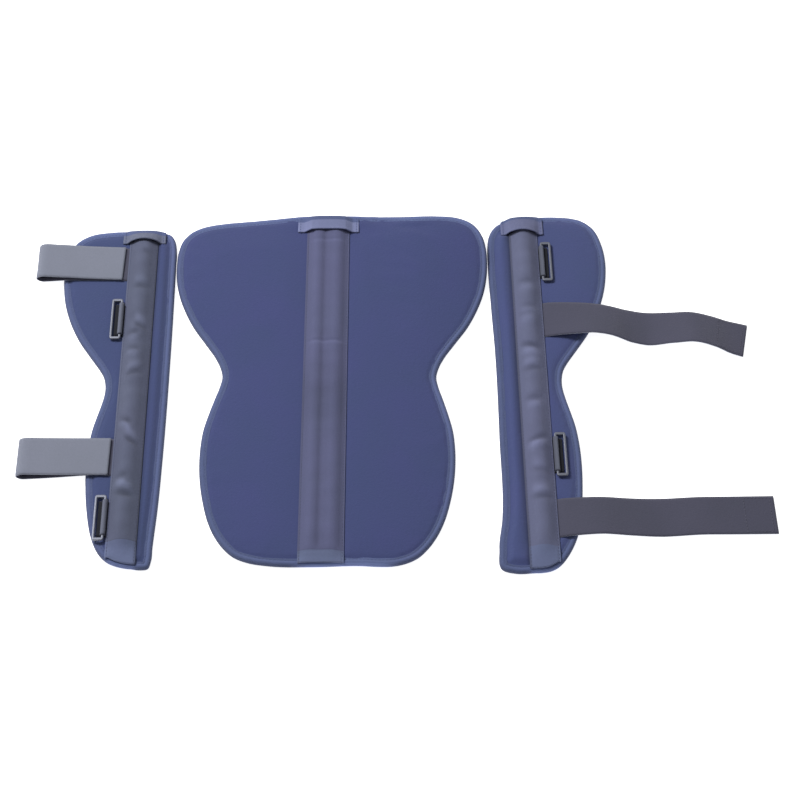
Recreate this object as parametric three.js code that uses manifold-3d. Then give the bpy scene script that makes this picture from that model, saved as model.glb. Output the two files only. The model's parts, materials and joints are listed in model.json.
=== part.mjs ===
import * as THREE from 'three';
import { mergeVertices } from 'three/addons/utils/BufferGeometryUtils.js';
import Module from 'manifold-3d';

// Knee splint of three padded panels, opened out and laid flat with the outer face up.
// Millimetres: X runs across the splint, Y towards the thigh end and Z up from the table.
// The origin lies on the table, under the middle of the splint's footprint.

// Stock and clearances
const SEWN_GAP = 0.3;
const FOAM_THICKNESS = 8;
const TAPE_THICKNESS = 1.3;
const WEBBING_THICKNESS = 1.5;
const WEBBING_WIDTH = 50;

// Edge binding, folded over the thinned rim of a panel
const BINDING_WIDTH = 9;
const BINDING_THICKNESS = 0.8;
const BINDING_BASE = 0.1;
const BINDING_TOP = 7.3;
const BINDING_ROUNDING = 1.2;
const RIM_STEP = 1;

// Three panels: where they lie, and how long they are
const POSTERIOR = { centreX: -74.4, bottomY: -250, pocketX: -5 };
const LEFT = {
  name: 'left',
  mirror: -1,
  edgeX: -261.7,
  bottomY: -253.5,
  length: 481,
  pocketAxis: 39.7,
  capLength: 17,
  capShift: 0,
  turn: 0.45,
};
const RIGHT = {
  name: 'right',
  mirror: 1,
  edgeX: 126.3,
  bottomY: -259.5,
  length: 508,
  pocketAxis: 43.7,
  capLength: 25,
  capShift: -1,
  turn: 1.2,
};

// Outline of the posterior panel, counter-clockwise from the bottom edge
const POSTERIOR_OUTLINE = [
  { along: 0.4, across: 40 },
  { along: -0.2, across: 76 },
  { along: 10, across: 103 },
  { along: 40, across: 126 },
  { along: 80, across: 139.5 },
  { along: 130, across: 146.5 },
  { along: 180, across: 144.5 },
  { along: 226, across: 133 },
  { along: 257, across: 126 },
  { along: 284, across: 135 },
  { along: 331, across: 164.5 },
  { along: 379, across: 184 },
  { along: 425, across: 189.5 },
  { along: 462, across: 184.5 },
  { along: 481.5, across: 172 },
  { along: 491.6, across: 150 },
  { along: 494, across: 100 },
  { along: 498.2, across: 60 },
  { along: 499.5, across: 20 },
  { along: 498.8, across: -40 },
  { along: 493.5, across: -100 },
  { along: 486.6, across: -150 },
  { along: 478, across: -170.5 },
  { along: 461, across: -184.5 },
  { along: 425, across: -189.5 },
  { along: 379, across: -184 },
  { along: 331, across: -164.5 },
  { along: 284, across: -135 },
  { along: 257, across: -126 },
  { along: 226, across: -133 },
  { along: 180, across: -144.5 },
  { along: 130, across: -146.5 },
  { along: 80, across: -139.5 },
  { along: 40, across: -126 },
  { along: 11, across: -102 },
  { along: 0.2, across: -64 },
];

// Outlines of the side panels, counter-clockwise from the bottom edge.
// "out" is measured from the nearly straight edge that lies against the posterior panel.
const LEFT_OUTLINE = [
  { along: 0, out: 28 },
  { along: 1.9, out: 39.5 },
  { along: 7.8, out: 54 },
  { along: 20.4, out: 66.2 },
  { along: 42.8, out: 75.7 },
  { along: 72.9, out: 82 },
  { along: 106.9, out: 86.1 },
  { along: 145.8, out: 87.3 },
  { along: 184.6, out: 84.2 },
  { along: 218.6, out: 76.5 },
  { along: 240, out: 73.1 },
  { along: 260.4, out: 76.1 },
  { along: 281.8, out: 88.6 },
  { along: 310.9, out: 107.5 },
  { along: 340.1, out: 121.3 },
  { along: 374.1, out: 131.2 },
  { along: 413, out: 134.8 },
  { along: 442.1, out: 131.5 },
  { along: 463, out: 123 },
  { along: 473.9, out: 108.8 },
  { along: 479, out: 90 },
  { along: 481, out: 58 },
  { along: 479.8, out: 27 },
  { along: 474.3, out: 7.2 },
  { along: 458, out: 0.8 },
  { along: 428, out: -0.5 },
  { along: 150, out: 0.2 },
  { along: 26, out: 5 },
  { along: 0, out: 8.8 },
];
const RIGHT_OUTLINE = [
  { along: 0, out: 30.8 },
  { along: 2, out: 50 },
  { along: 8.2, out: 60.5 },
  { along: 21.6, out: 71 },
  { along: 45.2, out: 82.2 },
  { along: 77, out: 88.8 },
  { along: 112.9, out: 92.4 },
  { along: 153.9, out: 93.4 },
  { along: 195, out: 89.8 },
  { along: 230.9, out: 81.6 },
  { along: 253.5, out: 78 },
  { along: 275, out: 81.1 },
  { along: 297.6, out: 94.4 },
  { along: 328.4, out: 114.2 },
  { along: 359.2, out: 127.8 },
  { along: 395.1, out: 138.6 },
  { along: 436.2, out: 142.8 },
  { along: 466.9, out: 139.2 },
  { along: 488.6, out: 131.2 },
  { along: 502, out: 116.6 },
  { along: 507.2, out: 96.5 },
  { along: 508, out: 63.6 },
  { along: 504, out: 31.5 },
  { along: 496.5, out: 12.8 },
  { along: 480, out: 2.2 },
  { along: 435, out: -1.3 },
  { along: 300, out: 1.5 },
  { along: 70, out: -1.2 },
  { along: 5, out: -4.4 },
];
const OUTLINE_STEPS = 2;

// The top right lobe of the posterior panel curls up a little off the table.
// The foam between its rim and its spine is divided at these shares, so that it can curl.
const CURL = { height: 10.5, fromX: 44, toX: 115, fromAlong: 330, toAlong: 494 };
const SPINE_INSET = 60;
const FOAM_SHARES = [0.6, 0.25];

// Stay pockets: tape sewn down along both edges, open at the top and sewn flat at the bottom
const FLANGE = 4;
const POSTERIOR_POCKET = { width: 52, height: 7, bottom: 1, top: 476.5 };
const POSTERIOR_VALLEY = { depth: 0.9, halfShare: 0.33 };
const SIDE_POCKET = { width: 35, height: 11, mouth: 10, bottom: 12, underCap: 3 };
const POCKET_END = { flat: 1.7, low: 4, lowAlong: 8, fullAlong: 30 };
const MOUTH_LENGTH = 12;
const ARCH_STEPS = 7;
const ARCH_POWER = { bulging: 0.7, flat: 5 };

// Creases across the side pockets, by level along Y. The slant makes a crease run askew.
const CREASE_SPREAD = 10;
const LEFT_CREASES = [
  { level: 130, depth: 1.4, slant: 3 },
  { level: 83, depth: 2.2, slant: 3 },
  { level: 52, depth: 2.4, slant: -4 },
  { level: -15, depth: 1.4, slant: 5 },
  { level: -80, depth: 2.3, slant: 8 },
  { level: -160, depth: 2.4, slant: 3 },
];
const RIGHT_CREASES = [
  { level: 136, depth: 2, slant: 3 },
  { level: 105, depth: 2, slant: -3 },
  { level: 40, depth: 2.4, slant: -4 },
  { level: -33, depth: 2.1, slant: 4 },
  { level: -85, depth: 2.3, slant: -8 },
  { level: -146, depth: 2.1, slant: 3 },
];

// Caps: tabs arched over the top ends of the pockets. They flatten towards the panel's top edge.
const CAP_ROOM = 2;
const CAP_INSET = 1.2;
const CAP_TRIM_HEIGHT = 40;
const CAP_SECTIONS = 4;
const POSTERIOR_CAP = { width: 75, length: 21.5, front: 9, back: 7.6, top: 494 };
const SIDE_CAP = { width: 52, front: 13, back: 6.8, fromEdge: 6 };

// Levels along Y where the straps and rings sit, from the thigh down
const LEVEL = { first: 173, second: 87, third: -108.5, fourth: -192 };

// Strap routes, from under the pocket outwards. "out" is measured from the pocket's outer edge,
// "height" is the middle of the webbing above the table, "drift" the shift along Y and
// "roll" the tilt in degrees that lifts the edge nearer the foot.
const LEFT_UPPER_ROUTE = [
  { out: -12, height: 7.25, drift: 0, roll: 0 },
  { out: 0, height: 7.25, drift: 0, roll: 0 },
  { out: 7, height: 9.1, drift: 0, roll: 0 },
  { out: 40, height: 9.1, drift: 0.3, roll: 0 },
  { out: 75, height: 8.9, drift: 0.6, roll: 0 },
  { out: 95.5, height: 7, drift: 0.8, roll: 0 },
  { out: 105, height: 6.9, drift: 0.9, roll: 0 },
  { out: 109.5, height: 11.2, drift: 1.2, roll: 0 },
  { out: 104.5, height: 15.6, drift: 1.4, roll: 0 },
  { out: 87.5, height: 15.2, drift: 1.2, roll: 0 },
  { out: 50, height: 12.2, drift: 0.6, roll: 0 },
  { out: 21.5, height: 11.2, drift: -0.2, roll: 0 },
  { out: 5, height: 11, drift: -0.7, roll: 0 },
];
const LEFT_LOWER_ROUTE = [
  { out: -12, height: 7.25, drift: 0, roll: 0 },
  { out: 0, height: 7.25, drift: 0, roll: 0 },
  { out: 7, height: 9.1, drift: 0, roll: 0 },
  { out: 26, height: 9, drift: 0, roll: 0 },
  { out: 57, height: 5, drift: 0.4, roll: 0 },
  { out: 93, height: 1.3, drift: 0.7, roll: 0 },
  { out: 104.3, height: 1.5, drift: 0.6, roll: 0 },
  { out: 108.8, height: 6.2, drift: 0.4, roll: 0 },
  { out: 103.3, height: 11, drift: 0.2, roll: 0 },
  { out: 83, height: 11.4, drift: -0.2, roll: 0 },
  { out: 47.5, height: 11.2, drift: -0.6, roll: 0 },
  { out: 20, height: 11.1, drift: -0.8, roll: 0 },
  { out: 3.3, height: 11.1, drift: -1, roll: 0 },
];
const RIGHT_UPPER_ROUTE = [
  { out: -12, height: 7.25, drift: 0, roll: 0 },
  { out: 0, height: 7.25, drift: 0, roll: 0 },
  { out: 7, height: 9.2, drift: -0.4, roll: 0 },
  { out: 32, height: 13.5, drift: -2.2, roll: 5 },
  { out: 60, height: 16, drift: -4.6, roll: 10 },
  { out: 80, height: 13.5, drift: -6.8, roll: 9 },
  { out: 104, height: 5.5, drift: -10, roll: 4 },
  { out: 126, height: 3.2, drift: -13, roll: 3 },
  { out: 152, height: 9.5, drift: -16.2, roll: 8 },
  { out: 178, height: 15.8, drift: -20.2, roll: 10 },
  { out: 200, height: 12.5, drift: -24.2, roll: 8 },
  { out: 221, height: 6, drift: -29, roll: 4 },
  { out: 239, height: 3, drift: -33.2, roll: 2 },
];
const RIGHT_LOWER_ROUTE = [
  { out: -12, height: 7.25, drift: 0, roll: 0 },
  { out: 0, height: 7.25, drift: 0, roll: 0 },
  { out: 7, height: 9.2, drift: 0.1, roll: 0 },
  { out: 28, height: 11, drift: 0.5, roll: 2 },
  { out: 50, height: 11, drift: 1, roll: 3 },
  { out: 85, height: 5, drift: 1.6, roll: 2 },
  { out: 117, height: 1.5, drift: 2.1, roll: 0 },
  { out: 160, height: 3.6, drift: 2.5, roll: 1 },
  { out: 199, height: 2.6, drift: 2.8, roll: 0.5 },
  { out: 246.5, height: 1.2, drift: 3.3, roll: 0 },
];
const ROUTE_STEPS = 3;
const STRAP_SEAT = { inner: 12.5, outer: 8, side: 0.5 };

// Oblong rings, and the webbing chapes that hold them by the bar next to the pocket
const RING = { length: 60, width: 13.5, bar: 3, endBar: 4, thickness: 3, corner: 2.5 };
const RING_EDGE = { bevel: 0.8, bevelSegments: 1, curveSegments: 2 };
const BAR_CENTRE = 3.4;
const CHAPE = { width: 46, tail: 10, reach: 11, ply: 1.1, bore: 1.95, arcSteps: 8 };
const CHAPE_SEAT = { inner: 10.5, outer: 3.9, side: 0.5 };

// Materials
const PANEL_CLOTH = { color: 0x4a5280, roughness: 0.95 };
const BINDING_TAPE = { color: 0x66708f, roughness: 0.8 };
const POCKET_TAPE = { color: 0x646985, roughness: 0.85 };
const CAP_TAPE = { color: 0x8488ab, roughness: 0.8 };
const STRAP_WEBBING = { color: 0x63657a, roughness: 0.9 };
const CHAPE_WEBBING = { color: 0x2a2c36, roughness: 0.9 };
const RING_METAL = { color: 0x9498a6, roughness: 0.35, metalness: 0.9 };

const wasm = await Module();
wasm.setup();

const radians = THREE.MathUtils.degToRad;
const smoothstep = THREE.MathUtils.smoothstep;

function namedMesh(name, geometry, finish) {
  const mesh = new THREE.Mesh(geometry, new THREE.MeshStandardMaterial(finish));
  mesh.name = name;
  return mesh;
}

// A closed solid from loops of points with equal counts. The loops either run round to the
// first one again, or end in two flat caps that are cut into triangles in the loop's own plane.
function skin(loops, flatten) {
  const count = loops[0].length;
  const points = loops.flat();
  const index = [];
  const lastBand = flatten ? loops.length - 1 : loops.length;
  for (let band = 0; band < lastBand; band += 1) {
    const lower = band * count;
    const upper = ((band + 1) % loops.length) * count;
    for (let k = 0; k < count; k += 1) {
      const next = (k + 1) % count;
      index.push(lower + k, lower + next, upper + next);
      index.push(lower + k, upper + next, upper + k);
    }
  }
  if (flatten) {
    const top = (loops.length - 1) * count;
    const startFaces = THREE.ShapeUtils.triangulateShape(loops[0].map(flatten), []);
    const endFaces = THREE.ShapeUtils.triangulateShape(loops[loops.length - 1].map(flatten), []);
    startFaces.forEach(([a, b, c]) => index.push(a, c, b));
    endFaces.forEach(([a, b, c]) => index.push(top + a, top + b, top + c));
  }
  const geometry = new THREE.BufferGeometry().setFromPoints(points);
  geometry.setIndex(index);
  geometry.computeVertexNormals();
  return geometry;
}

// Boolean cuts
function toManifold(geometry) {
  const bare = geometry.clone();
  bare.deleteAttribute('normal');
  bare.deleteAttribute('uv');
  const merged = mergeVertices(bare);
  return new wasm.Manifold(new wasm.Mesh({
    numProp: 3,
    vertProperties: merged.attributes.position.array,
    triVerts: Uint32Array.from(merged.index.array),
  }));
}

function fromManifold(solid) {
  const mesh = solid.getMesh();
  const geometry = new THREE.BufferGeometry();
  geometry.setAttribute('position', new THREE.BufferAttribute(mesh.vertProperties, 3));
  geometry.setIndex(new THREE.BufferAttribute(mesh.triVerts, 1));
  geometry.computeVertexNormals();
  return geometry;
}

function cutAway(geometry, tools) {
  const cut = tools.reduce((solid, tool) => solid.subtract(toManifold(tool)), toManifold(geometry));
  return fromManifold(cut);
}

// Outlines
function smoothLoop(points) {
  const curve = new THREE.CatmullRomCurve3(points, true, 'centripetal');
  const count = points.length * OUTLINE_STEPS;
  return Array.from({ length: count }, (_, k) => curve.getPoint(k / count));
}

function posteriorLoop() {
  return smoothLoop(POSTERIOR_OUTLINE.map(({ along, across }) => new THREE.Vector3(across, along, 0)));
}

function sideLoop(outline) {
  return smoothLoop(outline.map(({ along, out }) => new THREE.Vector3(out, along, 0)));
}

// A counter-clockwise loop moved inwards by a distance and set at a height
function insetLoop(loop, distance, height) {
  return loop.map((point, k) => {
    const before = loop[(k + loop.length - 1) % loop.length];
    const after = loop[(k + 1) % loop.length];
    const run = after.clone().sub(before).normalize();
    return new THREE.Vector3(point.x - run.y * distance, point.y + run.x * distance, height);
  });
}

// A loop drawn in towards the spine, the middle stretch of the panel's long axis
function spineLoop(loop, share, height) {
  const alongs = loop.map((point) => point.y);
  const low = Math.min(...alongs) + SPINE_INSET;
  const high = Math.max(...alongs) - SPINE_INSET;
  return loop.map(({ x, y }) => {
    const spineY = THREE.MathUtils.clamp(y, low, high);
    return new THREE.Vector3(x * share, THREE.MathUtils.lerp(spineY, y, share), height);
  });
}

// Padded panel: full foam inside, thinned to a flat rim where the binding takes it
function panelGeometry(loop, foamShares = []) {
  const rimEdge = BINDING_THICKNESS + SEWN_GAP;
  const rimBase = BINDING_BASE + BINDING_THICKNESS + SEWN_GAP;
  const rimTop = BINDING_TOP - BINDING_THICKNESS - SEWN_GAP;
  const rimInner = BINDING_WIDTH + SEWN_GAP;
  const foamEdge = rimInner + RIM_STEP;
  return skin([
    ...foamShares.toReversed().map((share) => spineLoop(loop, share, 0)),
    insetLoop(loop, foamEdge, 0),
    insetLoop(loop, rimInner, rimBase),
    insetLoop(loop, rimEdge, rimBase),
    insetLoop(loop, rimEdge, rimTop),
    insetLoop(loop, rimInner, rimTop),
    insetLoop(loop, foamEdge, FOAM_THICKNESS),
    ...foamShares.map((share) => spineLoop(loop, share, FOAM_THICKNESS)),
  ], (p) => new THREE.Vector2(p.x, p.y));
}

// Binding: a U-shaped section run right round the panel
function bindingGeometry(loop) {
  const wall = BINDING_THICKNESS;
  const section = [
    { inset: BINDING_WIDTH, height: BINDING_BASE },
    { inset: BINDING_WIDTH, height: BINDING_BASE + wall },
    { inset: wall, height: BINDING_BASE + wall },
    { inset: wall, height: BINDING_TOP - wall },
    { inset: BINDING_WIDTH, height: BINDING_TOP - wall },
    { inset: BINDING_WIDTH, height: BINDING_TOP },
    { inset: BINDING_ROUNDING, height: BINDING_TOP },
    { inset: 0, height: BINDING_TOP - BINDING_ROUNDING },
    { inset: 0, height: BINDING_BASE },
  ];
  const rows = section.map(({ inset, height }) => insetLoop(loop, inset, height));
  return skin(loop.map((_, k) => rows.map((row) => row[k])));
}

// Arch of the bulging side pockets, and of the flatter posterior one
const bulgingArch = (u) => Math.max(Math.cos((u * Math.PI) / 2), 0) ** ARCH_POWER.bulging;
const flatArch = (u) => 1 - Math.abs(u) ** ARCH_POWER.flat;

// Section of a tape arched between two sewn flanges, drawn with its underside first
function tapeSection({ width, span, height, arch }) {
  const wall = TAPE_THICKNESS;
  const rise = height - wall;
  const inner = [];
  const outer = [];
  for (let k = 0; k <= ARCH_STEPS; k += 1) {
    const u = (2 * k) / ARCH_STEPS - 1;
    inner.push({ across: u * (span / 2 - wall), height: rise * arch(u) });
    outer.unshift({ across: u * (span / 2), height: wall + rise * arch(u) });
  }
  return [
    { across: -width / 2, height: 0 },
    ...inner,
    { across: width / 2, height: 0 },
    { across: width / 2, height: wall },
    ...outer,
    { across: -width / 2, height: wall },
  ];
}

// A tape lofted through its stations, which run from the top end of the panel to the bottom
function tapeGeometry(stations, axisX) {
  const base = FOAM_THICKNESS + SEWN_GAP;
  const loops = stations.map((station) => tapeSection(station).map(({ across, height }) => {
    const askew = (station.slant * across) / (station.width / 2);
    return new THREE.Vector3(axisX + across, station.along + askew, base + height);
  }));
  return skin(loops, (p) => new THREE.Vector2(p.x, p.z));
}

// The last stretch of a pocket, pressed flat towards its bottom seam
function pocketEnd(bottom, height) {
  return [
    { along: bottom + POCKET_END.fullAlong, height },
    { along: bottom + POCKET_END.lowAlong, height: Math.min(POCKET_END.low, height) },
    { along: bottom, height: POCKET_END.flat },
  ];
}

function posteriorPocketGeometry() {
  const { width, height, bottom, top } = POSTERIOR_POCKET;
  const { depth, halfShare } = POSTERIOR_VALLEY;
  const valley = (u) => (depth / height) * Math.max(1 - Math.abs(u) / halfShare, 0);
  const arch = (u) => flatArch(u) * (1 - valley(u));
  const form = { width, span: width - 2 * FLANGE, arch, slant: 0 };
  const middle = (bottom + top) / 2;
  const rows = [{ along: top, height }, { along: middle, height }, ...pocketEnd(bottom, height)];
  return tapeGeometry(rows.map((row) => ({ ...form, ...row })), POSTERIOR.pocketX);
}

function sidePocketGeometry(side, axis, top, creases) {
  const { width, height, mouth } = SIDE_POCKET;
  const form = { width, span: width - 2 * FLANGE, arch: bulgingArch };
  const folds = creases.flatMap(({ level, depth, slant }) => {
    const along = level - side.bottomY;
    return [
      { along: along + CREASE_SPREAD, height, slant },
      { along, height: height - depth, slant },
      { along: along - CREASE_SPREAD, height, slant },
    ];
  });
  const mouthRows = [{ along: top, height: mouth }, { along: top - MOUTH_LENGTH, height }];
  const rows = [...mouthRows, ...folds, ...pocketEnd(SIDE_POCKET.bottom, height)];
  return tapeGeometry(rows.map((row) => ({ slant: 0, ...form, ...row })), axis);
}

function capGeometry({ width, length, front, back, top }, pocketWidth, arch, axisX) {
  const span = pocketWidth + 2 * (TAPE_THICKNESS + SEWN_GAP + CAP_ROOM);
  const stations = Array.from({ length: CAP_SECTIONS }, (_, k) => {
    const share = k / (CAP_SECTIONS - 1);
    const height = THREE.MathUtils.lerp(back, front, share);
    return { width, span, height, arch, slant: 0, along: top - length * share };
  });
  return tapeGeometry(stations, axisX);
}

// A cap cut back to just inside the outline of its panel
function trimmedCap(cap, loop) {
  const within = skin(
    [insetLoop(loop, CAP_INSET, 0), insetLoop(loop, CAP_INSET, CAP_TRIM_HEIGHT)],
    (p) => new THREE.Vector2(p.x, p.y),
  );
  return fromManifold(toManifold(cap).intersect(toManifold(within)));
}

// A strap swept along its route, with its width lying along Y unless it rolls
function strapGeometry(route, pocketEdge, along) {
  const column = (pick) => route.map((row) => pick(row));
  const points = column(({ out, height, drift }) => (
    new THREE.Vector3(pocketEdge + out, along + drift, height)
  ));
  const curve = new THREE.CatmullRomCurve3(points, false, 'centripetal');
  const rolls = column(({ roll }) => radians(roll));
  const count = (route.length - 1) * ROUTE_STEPS;
  const halfWidth = WEBBING_WIDTH / 2;
  const halfPly = WEBBING_THICKNESS / 2;
  const corners = [[-1, -1], [1, -1], [1, 1], [-1, 1]];
  const loops = Array.from({ length: count + 1 }, (_, k) => {
    const centre = curve.getPoint(k / count);
    const run = curve.getTangent(k / count);
    const row = Math.min(Math.floor(k / ROUTE_STEPS), route.length - 2);
    const roll = THREE.MathUtils.lerp(rolls[row], rolls[row + 1], k / ROUTE_STEPS - row);
    const across = new THREE.Vector3(0, 1, 0).addScaledVector(run, -run.y).normalize();
    across.applyAxisAngle(run, -roll);
    const up = run.clone().cross(across);
    return corners.map(([side, face]) => (
      centre.clone().addScaledVector(across, side * halfWidth).addScaledVector(up, face * halfPly)
    ));
  });
  const flat = corners.map(([side, face]) => new THREE.Vector2(side, face));
  return skin(loops, (_, k) => flat[k]);
}

// Recess pressed into the foam where webbing is sewn in under the pocket's edge
function seatGeometry(seat, webbingWidth, pocketEdge, along) {
  const depth = WEBBING_THICKNESS + SEWN_GAP;
  const box = new THREE.BoxGeometry(seat.inner + seat.outer, webbingWidth + 2 * seat.side, 2 * depth);
  return box.translate(pocketEdge + (seat.outer - seat.inner) / 2, along, FOAM_THICKNESS);
}

// Oblong ring lying flat, drawn about the centre line of its bar next to the pocket
function roundedOblong(path, left, right, halfLength, radius) {
  path.moveTo(left + radius, -halfLength);
  path.lineTo(right - radius, -halfLength);
  path.absarc(right - radius, -halfLength + radius, radius, -Math.PI / 2, 0);
  path.absarc(right - radius, halfLength - radius, radius, 0, Math.PI / 2);
  path.absarc(left + radius, halfLength - radius, radius, Math.PI / 2, Math.PI);
  path.absarc(left + radius, -halfLength + radius, radius, Math.PI, Math.PI * 1.5);
  return path;
}

function ringGeometry() {
  const { length, width, bar, endBar, thickness, corner } = RING;
  const { bevel, bevelSegments, curveSegments } = RING_EDGE;
  const left = -bar / 2 + bevel;
  const right = width - bar / 2 - bevel;
  const shape = roundedOblong(new THREE.Shape(), left, right, length / 2 - bevel, corner - bevel);
  const slotLeft = left + bar - 2 * bevel;
  const slotRight = right - bar + 2 * bevel;
  const slotLength = length / 2 - endBar + bevel;
  shape.holes.push(roundedOblong(new THREE.Path(), slotLeft, slotRight, slotLength, corner));
  const geometry = new THREE.ExtrudeGeometry(shape, {
    depth: thickness - 2 * bevel,
    bevelSize: bevel,
    bevelThickness: bevel,
    bevelSegments,
    curveSegments,
  });
  return geometry.translate(0, 0, bevel - thickness / 2);
}

// Webbing chape: a tail under the pocket, a base ply under the ring and a loop round its bar.
// The side view is drawn with "out" to the right and the height above the table upwards.
const tailBase = FOAM_THICKNESS - WEBBING_THICKNESS;
const plyBase = FOAM_THICKNESS + SEWN_GAP;
const plyTop = plyBase + WEBBING_THICKNESS;
const barHeight = plyTop + CHAPE.bore;

function chapeGeometry() {
  const { width, tail, reach, ply, bore, arcSteps } = CHAPE;
  const loopRadius = bore + ply;
  const foot = -Math.asin(bore / loopRadius);
  const footReach = loopRadius * Math.cos(foot);
  const rampStart = BAR_CENTRE - bore;
  const rampEnd = BAR_CENTRE;
  const shape = new THREE.Shape();
  shape.moveTo(-tail, tailBase);
  shape.lineTo(rampStart, tailBase);
  shape.lineTo(rampEnd, plyBase);
  shape.lineTo(reach, plyBase);
  shape.lineTo(reach, plyTop);
  shape.lineTo(BAR_CENTRE + footReach, plyTop);
  shape.absarc(BAR_CENTRE, barHeight, loopRadius, foot, Math.PI - foot);
  shape.lineTo(BAR_CENTRE - loopRadius + SEWN_GAP / 2, FOAM_THICKNESS);
  shape.lineTo(-tail, FOAM_THICKNESS);
  const hole = new THREE.Path().absarc(BAR_CENTRE, barHeight, bore, 0, Math.PI * 2);
  shape.holes.push(hole);
  const geometry = new THREE.ExtrudeGeometry(shape, {
    depth: width,
    bevelEnabled: false,
    curveSegments: arcSteps,
  });
  geometry.translate(0, 0, -width / 2);
  return geometry.rotateX(Math.PI / 2);
}

// Posterior panel with its binding, pocket and cap
function curlUp(geometry) {
  const position = geometry.attributes.position;
  for (let k = 0; k < position.count; k += 1) {
    const acrossShare = smoothstep(position.getX(k), CURL.fromX, CURL.toX);
    const alongShare = smoothstep(position.getY(k), CURL.fromAlong, CURL.toAlong);
    position.setZ(k, position.getZ(k) + CURL.height * acrossShare * alongShare);
  }
  geometry.computeVertexNormals();
  return geometry;
}

function posteriorPanel() {
  const loop = posteriorLoop();
  const cap = capGeometry(POSTERIOR_CAP, POSTERIOR_POCKET.width, flatArch, POSTERIOR.pocketX);
  const group = new THREE.Group();
  group.position.set(POSTERIOR.centreX, POSTERIOR.bottomY, 0);
  const foam = curlUp(panelGeometry(loop, FOAM_SHARES));
  group.add(
    namedMesh('posterior_panel', foam, PANEL_CLOTH),
    namedMesh('posterior_binding', curlUp(bindingGeometry(loop)), BINDING_TAPE),
    namedMesh('posterior_stay_pocket', posteriorPocketGeometry(), POCKET_TAPE),
    namedMesh('posterior_pocket_cap', cap, CAP_TAPE),
  );
  return group;
}

// Side panel. Each side has two straps and two rings, on alternate levels, so that the straps
// of one side meet the rings of the other.
function sidePanel(side, outline, creases, straps, rings) {
  const loop = sideLoop(outline);
  const axis = side.pocketAxis;
  const pocketEdge = axis + SIDE_POCKET.width / 2;
  const capTop = side.length - SIDE_CAP.fromEdge;
  const capLength = side.capLength;
  const pocketTop = capTop - capLength + SIDE_POCKET.underCap;
  const alongOf = (level) => level - side.bottomY;
  const seats = [
    ...straps.map(({ level }) => seatGeometry(STRAP_SEAT, WEBBING_WIDTH, pocketEdge, alongOf(level))),
    ...rings.map(({ level }) => seatGeometry(CHAPE_SEAT, CHAPE.width, pocketEdge, alongOf(level))),
  ];
  const capForm = { ...SIDE_CAP, length: capLength, top: capTop };
  const cap = capGeometry(capForm, SIDE_POCKET.width, bulgingArch, axis + side.capShift);
  const add = (suffix, geometry, finish) => (
    group.add(namedMesh(`${side.name}_${suffix}`, geometry, finish))
  );
  const group = new THREE.Group();
  group.position.set(side.edgeX, side.bottomY, 0);
  group.rotation.z = radians(side.turn);
  group.scale.x = side.mirror;

  add('panel', cutAway(panelGeometry(loop), seats), PANEL_CLOTH);
  add('binding', bindingGeometry(loop), BINDING_TAPE);
  add('stay_pocket', sidePocketGeometry(side, axis, pocketTop, creases), POCKET_TAPE);
  add('pocket_cap', trimmedCap(cap, loop), CAP_TAPE);
  straps.forEach(({ place, level, route }) => {
    add(`strap_${place}`, strapGeometry(route, pocketEdge, alongOf(level)), STRAP_WEBBING);
  });
  rings.forEach(({ place, level }) => {
    const ring = ringGeometry().translate(pocketEdge + BAR_CENTRE, alongOf(level), barHeight);
    const chape = chapeGeometry().translate(pocketEdge, alongOf(level), 0);
    add(`ring_${place}`, ring, RING_METAL);
    add(`chape_${place}`, chape, CHAPE_WEBBING);
  });
  return group;
}

const splint = new THREE.Group();
splint.add(posteriorPanel());
splint.add(sidePanel(
  LEFT,
  LEFT_OUTLINE,
  LEFT_CREASES,
  [
    { place: 'upper', level: LEVEL.first, route: LEFT_UPPER_ROUTE },
    { place: 'lower', level: LEVEL.third, route: LEFT_LOWER_ROUTE },
  ],
  [
    { place: 'upper', level: LEVEL.second },
    { place: 'lower', level: LEVEL.fourth },
  ],
));
splint.add(sidePanel(
  RIGHT,
  RIGHT_OUTLINE,
  RIGHT_CREASES,
  [
    { place: 'upper', level: LEVEL.second, route: RIGHT_UPPER_ROUTE },
    { place: 'lower', level: LEVEL.fourth, route: RIGHT_LOWER_ROUTE },
  ],
  [
    { place: 'upper', level: LEVEL.first },
    { place: 'lower', level: LEVEL.third },
  ],
));

// Centre the footprint on the origin
const footprint = new THREE.Box3().setFromObject(splint, true);
const middle = footprint.getCenter(new THREE.Vector3());
splint.position.set(-middle.x, -middle.y, 0);

export default splint;
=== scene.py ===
import json
import math

import bmesh
import bpy
import numpy as np
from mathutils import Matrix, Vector, noise
from mathutils.bvhtree import BVHTree
from mathutils.kdtree import KDTree


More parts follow.
